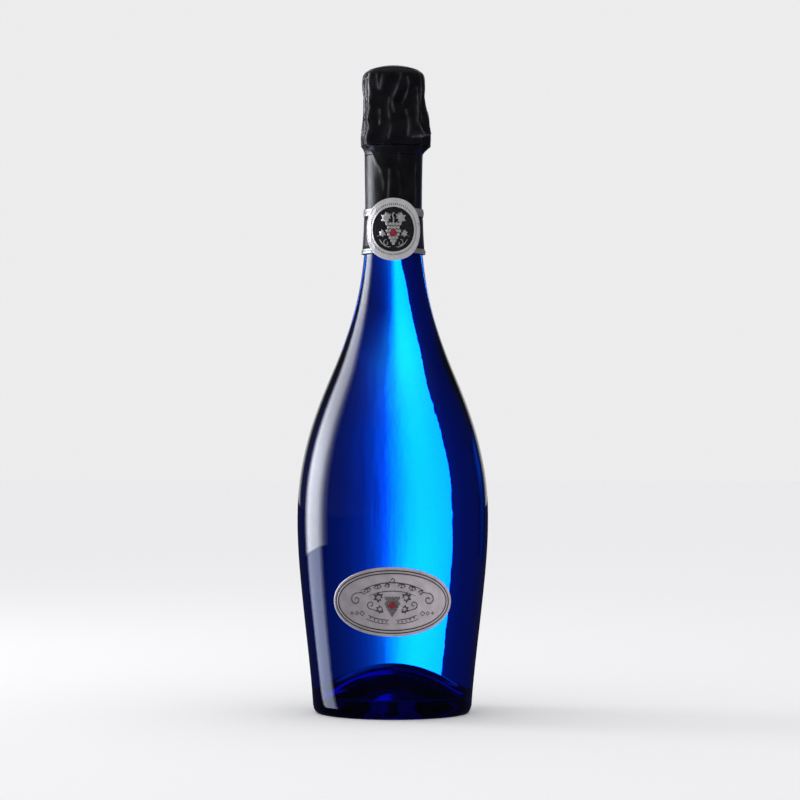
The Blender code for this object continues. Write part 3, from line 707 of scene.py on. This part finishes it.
# A bar's section (across, share of its height), a leaf's outline (degrees from its stalk, reach)
bar_section = [(-0.42, 0.55), (-0.2, 0.93), (0.2, 0.93), (0.42, 0.55)]
half_leaf = [
    (0, 0.10), (28, 0.52), (52, 0.36), (78, 0.80), (104, 0.50), (135, 0.92), (158, 0.62),
    (180, 1.0),
]
leaf_outline = half_leaf + [(360 - a, r) for a, r in reversed(half_leaf[1:-1])]
LEAF_MIDDLE = 0.45
LEAF_REACH = 0.62
VEIN_REACH = 0.50
LONG_LOBE = 0.7
SINK = 0.08
DOME_RINGS = 4


class Relief:
    """Points and faces drawn on a flat label, bent onto the glass at an offset."""

    def __init__(self, centre, offset):
        self.centre = centre
        self.offset = offset
        self.radius = outer_radius(centre) + offset
        self.points = []
        self.faces = []

    def bend(self, u, v, height):
        z = self.centre + v * 0.001
        x = self.radius * sin(u * 0.001 / self.radius)
        reach = outer_radius(z) + self.offset + height * 0.001
        return (x, -sqrt(reach ** 2 - x ** 2), z)

    def add(self, flat, faces):
        first = len(self.points)
        self.points += [self.bend(*point) for point in flat]
        self.faces += [tuple(first + k for k in face) for face in faces]

    def ridge(self, chain, width, height, closed=False, taper=False, sink=SINK):
        """A rounded bar along a chain of (u, v) points."""
        section = [(across, up * height) for across, up in bar_section]
        section = [(-0.5, -sink)] + section + [(0.5, -sink)]
        flat = []
        count = len(chain)
        for k, (u, v) in enumerate(chain):
            before = chain[k - 1] if closed or k > 0 else chain[0]
            after = chain[(k + 1) % count] if closed or k < count - 1 else chain[-1]
            along = Vector((after[0] - before[0], after[1] - before[1])).normalized()
            share = sin(pi * (k + 0.6) / (count + 0.2)) ** 0.6 if taper else 1.0
            for across, up in section:
                reach = across * width * share
                rise = up * share if up > 0 else up
                flat.append((u - along.y * reach, v + along.x * reach, rise))
        self.add(flat, quads(count, len(section), loop=closed, capped=not closed))

    def dome(self, u, v, radius, height, steps=12, stretch=1.0):
        """A rounded boss."""
        flat = [(u + x, v + y, -SINK) for x, y in oval(radius, radius * stretch, steps)]
        for ring in range(DOME_RINGS):
            lift = pi / 2 * ring / DOME_RINGS
            for x, y in oval(radius * cos(lift), radius * stretch * cos(lift), steps):
                flat.append((u + x, v + y, height * sin(lift)))
        top = len(flat)
        flat.append((u, v, height))
        faces = [tuple(range(steps))] + quads(DOME_RINGS + 1, steps)
        faces += [(top - steps + k, top - steps + (k + 1) % steps, top) for k in range(steps)]
        self.add(flat, faces)

    def bunch(self, rows, radius, height, stretch=1.0):
        """Grapes in rows of (place upwards, count, spacing)."""
        for v, count, spacing in rows:
            for k in range(count):
                self.dome((k - (count - 1) / 2) * spacing, v, radius, height, stretch=stretch)

    def leaf(self, u, v, degrees, length, height):
        """A vine leaf of five lobes with raised veins, its stalk at (u, v)."""
        turn = radians(degrees)
        shift = LEAF_MIDDLE * length
        middle = (u + shift * cos(turn), v + shift * sin(turn))

        def out(degrees, reach):
            angle = turn + pi + radians(degrees)
            return (middle[0] + reach * cos(angle), middle[1] + reach * sin(angle))

        rim = [out(a, LEAF_REACH * length * r) for a, r in leaf_outline]
        flat = [(*middle, height)]
        flat += [(x, y, height * 0.35) for x, y in rim]
        flat += [(x, y, -SINK) for x, y in rim]
        count = len(rim)
        faces = [(0, 1 + k, 1 + (k + 1) % count) for k in range(count)]
        faces += quads(2, count, first=1) + [tuple(range(1 + count, 1 + 2 * count))]
        self.add(flat, faces)
        for a, r in leaf_outline:
            if r > LONG_LOBE:
                reach = VEIN_REACH * length * r
                vein = [middle, out(a, reach / 2), out(a, reach)]
                self.ridge(vein, 0.07 * length, height * 1.1, sink=0.0)

    def build(self, name, finish, slot="label_silver", *replaced):
        return mesh_piece(name, self.points, self.faces, finish, "bottle", slot, *replaced)


def oval(half_width, half_height, count):
    turns = [2 * pi * k / count for k in range(count)]
    return [(half_width * cos(turn), half_height * sin(turn)) for turn in turns]


def spiral(centre, radius, start, end, shrink, count):
    """An arc whose radius shrinks to a share of its first one."""
    result = []
    for t in between(0.0, 1.0, count):
        a = radians(start + (end - start) * t)
        r = radius * (1 - (1 - shrink) * t)
        result.append((centre[0] + r * cos(a), centre[1] + r * sin(a)))
    return result


def metal_finish(name, low, high, roughness, metallic, speck=1400.0, strength=0.25):
    """Cast or embossed metal: cloudy colour and a fine stippled surface."""
    look = new_look(name)
    cloud = look.noise(260.0)
    look.paint({
        "Base Color": look.cloudy(cloud, low, high),
        "Roughness": look.cloudy(cloud, roughness - 0.05, roughness + 0.08),
        "Metallic": metallic,
    })
    look.bump(look.noise(speck, 2.0), strength, 0.00015)
    return look.owner


# The layers on the neck, outwards from the foil, and the sunk edge of a raised mark
LABEL_GAP = 0.00025
BAND_SHEET = 0.0003
RIM_RAISE = 0.00025
SEAL_SHEET = 0.0004
BAND_OFFSET = GAP + FOIL + LABEL_GAP
SEAL_FACE = BAND_OFFSET + BAND_SHEET + RIM_RAISE + LABEL_GAP + SEAL_SHEET
EDGE_SINK = 0.0001
TICK_COUNT = 100
TICK_HALF = 0.0115
TICK_SINK = 0.00005
tick_rows = [
    (0.22, -TICK_SINK), (0.28, 0.00012), (0.5, 0.00014), (0.72, 0.00012), (0.78, -TICK_SINK),
]


def ring_piece(name, low, high, gap, thick, finish, slot, *replaced):
    """A smooth band round the neck that follows the glass."""
    heights = between(high, low, 8)
    outside = [(outer_radius(z) + gap + thick, z) for z in heights]
    for k in (0, -1):
        outside[k] = (outside[k][0] - EDGE_SINK, outside[k][1])
    inside = [(outer_radius(z) + gap, z) for z in reversed(heights)]
    return revolve(name, outside + inside, 144, finish, "bottle", slot, *replaced)


def make_ticks(name, low, high, offset, finish):
    """Short upright bars all round a rim."""
    points = []
    faces = []
    for k in range(TICK_COUNT):
        first = len(points)
        for share, lift in tick_rows:
            z = low + (high - low) * share
            for side, rise in ((-1, -TICK_SINK), (-0.6, lift), (0.6, lift), (1, -TICK_SINK)):
                turn = 2 * pi * k / TICK_COUNT + TICK_HALF * side
                reach = outer_radius(z) + offset + rise
                points.append((reach * sin(turn), -reach * cos(turn), z))
        faces += quads(len(tick_rows), 4, capped=True, first=first)
    mesh_piece(name, points, faces, finish, "bottle", "label_silver")


def make_collar(black, silver):
    """The band round the neck with its two ticked rims."""
    low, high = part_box("collar_band")
    ring_piece("band", low.z, high.z, BAND_OFFSET, BAND_SHEET, black, "label_black", "collar_band")
    thick = BAND_SHEET + RIM_RAISE
    for name in ("upper_rim", "lower_rim"):
        node = "collar_" + name
        low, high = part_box(node)
        ring_piece(name, low.z, high.z, BAND_OFFSET, thick, silver, "label_silver", node)
        make_ticks(name + "_ticks", low.z, high.z, BAND_OFFSET + thick, silver)


# The seal's drawing, in mm: grapes as (place upwards, count, spacing), leaves as (across, up,
# degrees, length, height), and the radii of its two beaded rings and of the marks between them
seal_bunch = [
    (2.6, 5, 1.55), (0.9, 4, 1.55), (-0.8, 5, 1.5), (-2.5, 4, 1.5), (-4.1, 3, 1.5), (-5.6, 2, 1.4),
    (-6.9, 1, 1.3),
]
seal_leaves = [
    (-0.6, 4.0, 152, 6.0, 0.42), (0.6, 4.0, 28, 6.0, 0.42),
    (-3.6, -0.6, 215, 4.0, 0.36), (3.6, -0.6, 325, 4.0, 0.36),
]
seal_branch = [(1.2, -8.6), (3.6, -8.3), (5.6, -6.9), (6.9, -4.9)]
SEAL_MARKS = 76
seal_rings = [(15.0, 0.5), (11.15, 0.45)]


def make_seal(black, silver, enamel):
    """A grape bunch under two leaves, on the neck seal."""
    low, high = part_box("seal_field")
    middle = (low.z + high.z) / 2
    work = Relief(middle, SEAL_FACE)
    work.bunch(seal_bunch, 0.82, 0.62, 1.05)
    for leaf in seal_leaves:
        work.leaf(*leaf)
    work.ridge([(0.0, 3.2), (0.1, 5.4), (-0.5, 7.0), (0.3, 8.2)], 0.7, 0.4)
    for side in (1, -1):
        start, end = (250, -60) if side > 0 else (290, 600)
        work.ridge(spiral((side * 3.3, 7.0), 1.5, start, end, 0.25, 16), 0.34, 0.3)
        work.ridge(spiral((side * 3.4, -6.6), 1.7, 90, 90 - side * 330, 0.25, 16), 0.36, 0.3)
        work.ridge([(side * u, v) for u, v in seal_branch], 0.42, 0.3, taper=True)
        for k in range(5):
            a = radians(-72 + 13 * k)
            work.dome(side * 8.3 * cos(a), 9.4 * sin(a), 0.22, 0.2, steps=8)
    relief = metal_finish(
        "relief_silver", (0.50, 0.48, 0.49), (0.66, 0.64, 0.65), 0.36, 0.5, 1400.0, 0.2
    )
    work.build("seal_relief", relief)
    gem = Relief(middle, SEAL_FACE)
    gem.dome(0.0, -1.6, 2.1, 1.0, steps=24, stretch=0.9)
    gem.build("seal_gem", enamel)
    marks = Relief(middle, SEAL_FACE + RIM_RAISE)
    for inner, outer in zip(oval(11.9, 11.9, SEAL_MARKS), oval(12.7, 12.7, SEAL_MARKS)):
        marks.ridge([inner, outer], 0.34, 0.05, sink=0.02)
    marks.build("seal_ticks", black, "label_black")
    beads = Relief(middle, SEAL_FACE + RIM_RAISE)
    for radius, width in seal_rings:
        beads.ridge(oval(radius, radius, 96), width, 0.14, closed=True)
    beads.build("seal_beads", silver)


# The plate in mm: its half width, its back, and a bright leaf's share of the dark one under it
PLATE_HALF_WIDTH = 30.2
PLATE_BACK = -0.20
PLATE_STEPS = 180
# Painted light: over this reach in metres across the plate, its colour goes from darker at -X to
# lighter at +X
PLATE_PAINTED_LIGHT_REACH = 0.030
LEAF_CORE = 0.58

# Profile of the plate: mm in from its edge, height, and how dark the patina lies there. Its last
# height is that of the field.
plate_profile = [
    (0.0, -0.45, 0.3), (0.0, 0.15, 0.1), (0.12, 0.48, 0.0), (0.4, 0.66, 0.0), (0.9, 0.72, 0.0),
    (1.35, 0.66, 0.1), (1.5, 0.36, 1.0), (1.85, 0.36, 1.0), (2.0, 0.62, 0.2), (2.35, 0.66, 0.0),
    (2.7, 0.62, 0.2), (2.85, 0.36, 1.0), (3.15, 0.36, 1.0), (3.35, 0.44, 0.2), (3.8, 0.46, 0.0),
]
plate_bunch = [
    (1.9, 5, 1.5), (0.5, 4, 1.5), (-0.9, 5, 1.5), (-2.3, 4, 1.5), (-3.7, 3, 1.5), (-5.0, 2, 1.5),
    (-6.2, 1, 1.5),
]


def plate_rings(half_height):
    """Rings of (half width, half height, height, patina), over the back and then the face."""
    rings = [
        (PLATE_HALF_WIDTH * share, half_height * share, PLATE_BACK, 0.3)
        for share in (0.2, 0.5, 0.8, 1.0)
    ]
    rings += [
        (PLATE_HALF_WIDTH - inset, half_height - inset, height, patina)
        for inset, height, patina in plate_profile
    ]
    wide, tall, level, patina = rings[-1]
    return rings + [(wide * share, tall * share, level, 0.0) for share in (0.8, 0.6, 0.4, 0.2)]


def make_plate(pewter, line, enamel):
    """The oval front plate: a rolled rim, two engraved lines, and a vine on its field."""
    low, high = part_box("front_plate")
    middle = (low.z + high.z) / 2
    rings = plate_rings((high.z - low.z) * 500)
    flat = []
    dark = []
    for wide, tall, height, patina in rings:
        flat += [(u, v, height) for u, v in oval(wide, tall, PLATE_STEPS)]
        dark += [patina] * PLATE_STEPS
    plate = Relief(middle, GAP)
    plate.add(flat, quads(len(rings), PLATE_STEPS, capped=True))
    item = plate.build("plate", pewter, "label_silver", "front_plate")
    mark(item, "patina", dark)
    field = GAP + plate_profile[-1][1] * 0.001
    motif, cores, fruit, gem = [Relief(middle, field) for part in range(4)]
    draw_vine(motif, cores)
    motif.build("plate_vine", line)
    cores.build("plate_leaves", pewter)
    fruit.bunch(plate_bunch, 0.78, 0.5)
    fruit.build("plate_fruit", metal_finish(
        "pewter_fruit", (0.16, 0.15, 0.155), (0.30, 0.28, 0.29), 0.35, 0.5, 1500.0, 0.1
    ))
    gem.dome(0.0, -1.4, 1.75, 0.85, steps=24, stretch=1.1)
    gem.build("plate_gem", enamel)


def cored_leaf(motif, cores, u, v, degrees, length, height):
    """A dark leaf with a smaller bright one raised on it."""
    motif.leaf(u, v, degrees, length, height)
    shift = LEAF_MIDDLE * length * (1 - LEAF_CORE)
    turn = radians(degrees)
    u += shift * cos(turn)
    v += shift * sin(turn)
    cores.leaf(u, v, degrees, length * LEAF_CORE, height + 0.10)


# The vine's bars on either side of the plate: points, width and height in mm
VINE_CENTRE = (0.0, -22.0)
vine_bars = [
    ([(4.6, -5.2), (7.2, -4.2), (10.2, -3.5)], 0.50, 0.16),
    ([(17.6, 4.0), (15.0, 4.4), (13.0, 3.4)], 0.50, 0.16),
    ([(1.6, -8.7), (5.0, -8.4), (8.6, -7.6), (11.6, -6.4)], 0.54, 0.16),
    ([(1.6, -10.5), (5.6, -10.2), (9.6, -9.3), (12.6, -8.1)], 0.46, 0.14),
]


def draw_vine(motif, cores):
    """A vine that arches over the fruit, with leaves, curls and lozenges on either side."""
    motif.ridge(spiral(VINE_CENTRE, 31.2, 60, 120, 1.0, 40), 0.60, 0.17, taper=True)
    motif.ridge(spiral(VINE_CENTRE, 27.2, 65, 115, 1.0, 32), 0.50, 0.15, taper=True)
    for side in (1, -1):
        for k in range(5):
            a = 90 - side * (6 + 5.0 * k)
            u = VINE_CENTRE[0] + 28.5 * cos(radians(a))
            v = VINE_CENTRE[1] + 28.5 * sin(radians(a))
            cored_leaf(motif, cores, u, v, a + (25 if k % 2 else -25), 3.0, 0.16)
        curl = spiral((side * 17.6, 1.0), 3.0, 90, 90 - side * 420, 0.15, 30)
        motif.ridge(curl, 0.50, 0.16)
        curl = spiral((side * 10.2, -1.4), 2.1, -90, -90 + side * 400, 0.15, 24)
        motif.ridge(curl, 0.46, 0.15)
        for chain, width, height in vine_bars:
            motif.ridge([(side * u, v) for u, v in chain], width, height, taper=True)
        cored_leaf(motif, cores, side * 4.0, 0.8, 90 - side * 62, 5.4, 0.20)
        cored_leaf(motif, cores, side * 3.8, -2.4, 90 - side * 118, 4.4, 0.18)
        for k, size in enumerate((1.15, 0.85, 0.6)):
            u = side * (14.6 + 2.6 * k)
            lozenge = [(u, -5.6 + size), (u + size, -5.6), (u, -5.6 - size), (u - size, -5.6)]
            motif.ridge(lozenge, 0.40, 0.14, closed=True)
        for k in range(5):
            motif.dome(side * (2.8 + 1.9 * k), -9.5 + 0.12 * k * k, 0.42, 0.18, steps=8)
    motif.ridge(spiral((0.0, 10.4), 1.5, 200, 560, 0.25, 20), 0.46, 0.16)


def plate_finish():
    """Pewter with painted light, darker towards -X and lighter towards +X, and a dark patina in its
    engraved lines.
    """
    look = new_look("pewter_plate")
    cloud = look.noise(220.0, 5.0)
    # Painted light: the pewter's colour is multiplied by a level that rises towards +X, as if lit
    # from that side
    place = look.add("TexCoord").outputs["Object"]
    across = look.add("SeparateXYZ", {"Vector": place}).outputs["X"]
    reach = PLATE_PAINTED_LIGHT_REACH
    share = look.add("MapRange", {"Value": across, "From Min": -reach, "From Max": reach})
    level = look.ramp(share.outputs["Result"], [(0.0, 0.74), (0.5, 1.26), (1.0, 1.80)])
    metal = look.cloudy(cloud, (0.40, 0.365, 0.385), (0.52, 0.48, 0.505))
    metal = look.mix(1.0, metal, level, "MULTIPLY")
    look.paint({
        "Base Color": look.mix(look.marked("patina"), metal, (0.035, 0.03, 0.03)),
        "Roughness": look.cloudy(cloud, 0.30, 0.42),
        "Metallic": 0.40,
    })
    look.bump(look.noise(1800.0, 2.0), 0.12, 0.0001)
    return look.owner


def enamel_finish():
    """Red enamel, a little uneven."""
    look = new_look("red_enamel")
    cloud = look.noise(700.0, 3.0)
    look.paint({
        "Base Color": look.cloudy(cloud, (0.17, 0.008, 0.012), (0.30, 0.02, 0.03)),
        "Roughness": 0.32,
        "Coat Weight": 0.3,
    })
    look.bump(cloud, 0.05, 0.0002)
    return look.owner


def satin_black():
    """Black lacquer on the label foil, with a faint weave."""
    look = new_look("label_black")
    weave = look.noise(500.0, 3.0, (1.0, 1.0, 4.0))
    look.paint({
        "Base Color": look.cloudy(weave, (0.008, 0.008, 0.010), (0.020, 0.019, 0.022)),
        "Roughness": look.cloudy(weave, 0.32, 0.45),
        "IOR": 1.38,
        "Specular IOR Level": 0.3,
    })
    look.bump(weave, 0.06, 0.0001)
    return look.owner


def cork_finish(name, light, dark, scale):
    """Cork: granules with dark pores between them."""
    look = new_look(name)
    place = look.add("TexCoord").outputs["Object"]
    grains = look.add("TexVoronoi", {"Vector": place, "Scale": scale})
    edges = look.add("TexVoronoi", {"Vector": place, "Scale": scale}, feature="DISTANCE_TO_EDGE")
    tone = look.add("SeparateColor", {"Color": grains.outputs["Color"]}).outputs["Red"]
    colour = look.ramp(tone, [(0.0, dark), (0.5, light), (1.0, light)])
    pores = look.ramp(edges.outputs["Distance"], [(0.0, 0.35), (0.08, 1.0)])
    look.paint({"Base Color": look.mix(1.0, colour, pores, "MULTIPLY"), "Roughness": 0.85})
    look.bump(pores, 0.4, 0.0003)
    return look.owner


def recolour(finish, *nodes):
    """Give a finish to CAD nodes that stay as they are."""
    for node in nodes:
        NODES[node].data.materials.clear()
        NODES[node].data.materials.append(finish)


# Studio


def make_stage():
    """A pale floor that runs out to the horizon. Gloss and glass see it dark, as in the picture."""
    mesh = bpy.data.meshes.new("floor")
    reach = FLOOR_REACH
    corners = [(-reach, -reach, 0), (reach, -reach, 0), (reach, reach, 0), (-reach, reach, 0)]
    mesh.from_pydata(corners, [], [(0, 1, 2, 3)])
    floor_item = placed("floor", mesh)
    look = new_look("floor")
    look.paint({"Base Color": (0.985, 0.985, 0.99), "Roughness": 0.6, "Specular IOR Level": 0.0})
    dim = look.add("Emission", {"Color": (0.018, 0.018, 0.04)})
    path = look.add("LightPath").outputs
    inside = look.math("MAXIMUM", path["Is Glossy Ray"], path["Is Transmission Ray"])
    shaders = {"Fac": inside, 1: look.shader.outputs["BSDF"], 2: dim.outputs["Emission"]}
    both = look.add("MixShader", shaders)
    look.show(both.outputs["Shader"])
    mesh.materials.append(look.owner)


def glow_sheet(name, rows, colour, unseen):
    """A sheet from rows of (point, glow, azure). Only glass or only gloss shows it."""
    mesh = bpy.data.meshes.new(name)
    points, glows, azures = zip(*(spot for row in rows for spot in row))
    mesh.from_pydata(points, [], quads(len(rows), len(rows[0]), ring=False))
    item = placed(name, mesh)
    mark(item, "glow", glows)
    mark(item, "azure", azures)
    look = new_look(name)
    look.nodes.remove(look.shader)
    depth = look.add("LightPath").outputs["Ray Depth"]
    straight = look.math("LESS_THAN", depth, STRAIGHT_PASSES + 0.5)
    share = look.math("MULTIPLY_ADD", straight, 1.0 - STRAY_SHARE, STRAY_SHARE)
    shine = look.add("Emission", {
        "Color": look.mix(look.marked("azure"), colour, AZURE),
        "Strength": look.math("MULTIPLY", look.marked("glow"), share),
    })
    look.show(shine.outputs["Emission"])
    mesh.materials.append(look.owner)
    for ray in ("camera", "diffuse", "shadow", unseen):
        setattr(item, "visible_" + ray, False)


def make_card():
    """A shaped card close behind the bottle. Only light straight through the glass shows it."""
    rows = []
    for z, half, drawn, tone in card_edges:
        rows.append([])
        for share, glow, azure in card_glows:
            x = share * half * (drawn if 0 < share < 2 else 1.0)
            rows[-1].append(((x, CARD_DISTANCE, z), glow, azure * tone))
    glow_sheet("card", rows, (1.0, 1.0, 1.0), "glossy")


def gloss_sheet(name, levels, shares, colour, place):
    """A sheet that only gloss sees, with its light at each level and in each direction."""
    rows = [
        [(place(at, radians(degrees)), level * share, 0.0) for degrees, share in shares]
        for at, level in levels
    ]
    glow_sheet(name, rows, colour, "transmission")


def beside(height, turn):
    return (-SHEET_REACH * sin(turn), -SHEET_REACH * cos(turn), height)


def on_floor(reach, turn):
    x = -BELLY_RADIUS * sin(turn / 2) - reach * sin(turn)
    y = -BELLY_RADIUS * cos(turn / 2) - reach * cos(turn)
    return (x, y, SHEEN_HEIGHT)


def make_world():
    """A pale world. Gloss sees it only behind the bottle, and the rest of the room dark."""
    world = bpy.data.worlds.new("studio")
    bpy.context.scene.world = world
    look = Look(world)
    look.nodes.clear()
    place = look.add("TexCoord").outputs["Generated"]
    split = look.add("SeparateXYZ", {"Vector": place})
    total = 0.0
    for axis, stops in room_glows:
        spread = look.add("MapRange", {"Value": split.outputs[axis], "From Min": -1.0})
        total = look.math("ADD", total, look.ramp(spread.outputs["Result"], stops))
    pale = look.add("Background", {"Color": (0.84, 0.84, 0.85), "Strength": 1.0})
    room = look.add("Background", {"Color": (1.0, 1.0, 1.02), "Strength": total})
    both = look.add("MixShader", {
        "Fac": look.add("LightPath").outputs["Is Glossy Ray"],
        1: pale.outputs["Background"],
        2: room.outputs["Background"],
    })
    look.add("OutputWorld", {"Surface": both.outputs["Shader"]})


def aimed(name, data, place, aim, roll=0.0):
    """A new object that looks at a point."""
    item = placed(name, data)
    item.location = place
    facing = (Vector(aim) - Vector(place)).to_track_quat("-Z", "Y")
    item.rotation_euler = (facing @ Quaternion((0.0, 0.0, 1.0), roll)).to_euler()
    return item


def make_lamp():
    """A soft rectangular lamp at the left. It doesn't show itself."""
    data = bpy.data.lights.new("strip_left", "AREA")
    data.shape = "RECTANGLE"
    data.size, data.size_y = LAMP_SIZE
    data.energy = LAMP_POWER
    item = aimed("strip_left", data, LAMP_PLACE, LAMP_AIM)
    for ray in ("camera", "transmission", "glossy"):
        setattr(item, "visible_" + ray, False)


def make_camera():
    data = bpy.data.cameras.new("camera")
    data.lens = CAMERA_LENS
    data.sensor_width = SENSOR_WIDTH
    place = (CAMERA_SIDE, -CAMERA_DISTANCE, CAMERA_HEIGHT)
    aim = (CAMERA_SIDE, 0.0, CAMERA_AIM_HEIGHT)
    bpy.context.scene.camera = aimed("camera", data, place, aim, CAMERA_ROLL)


make_camera()
make_world()
make_lamp()
make_stage()
gloss_sheet("strip", strip_levels, strip_shares, (0.95, 0.97, 1.05), beside)
gloss_sheet("edge", edge_levels, edge_shares, (0.01, 0.10, 1.0), beside)
gloss_sheet("sheen", sheen_levels, sheen_shares, (0.88, 0.98, 1.35), on_floor)
make_card()
make_glass()
make_wine()

make_foil()
black = satin_black()
silver = metal_finish("label_silver", (0.80, 0.78, 0.80), (0.92, 0.90, 0.92), 0.32, 0.50)
rim_silver = metal_finish("rim_silver", (0.42, 0.41, 0.43), (0.54, 0.53, 0.55), 0.34, 0.75)
pewter = plate_finish()
line = metal_finish("plate_line", (0.05, 0.045, 0.045), (0.11, 0.10, 0.10), 0.4, 0.3, 1200.0, 0.1)
enamel = enamel_finish()
steel = metal_finish("wire_steel", (0.42, 0.42, 0.44), (0.62, 0.62, 0.64), 0.28, 0.9, 900.0, 0.15)
make_collar(black, rim_silver)
make_seal(black, silver, enamel)
make_plate(pewter, line, enamel)
recolour(black, "seal_field", "cage_plate")
recolour(silver, "seal_ring")
recolour(steel, "cage_wire", "belt_wire", "twist_loop")
granules = cork_finish("cork_granules", (0.62, 0.42, 0.24), (0.30, 0.17, 0.08), 900.0)
recolour(granules, "cork_stem")
sheet = cork_finish("cork_sheet", (0.70, 0.50, 0.30), (0.55, 0.36, 0.19), 350.0)
recolour(sheet, "cork_disc_upper", "cork_disc_lower")

bpy.context.scene.view_settings.view_transform = "Standard"
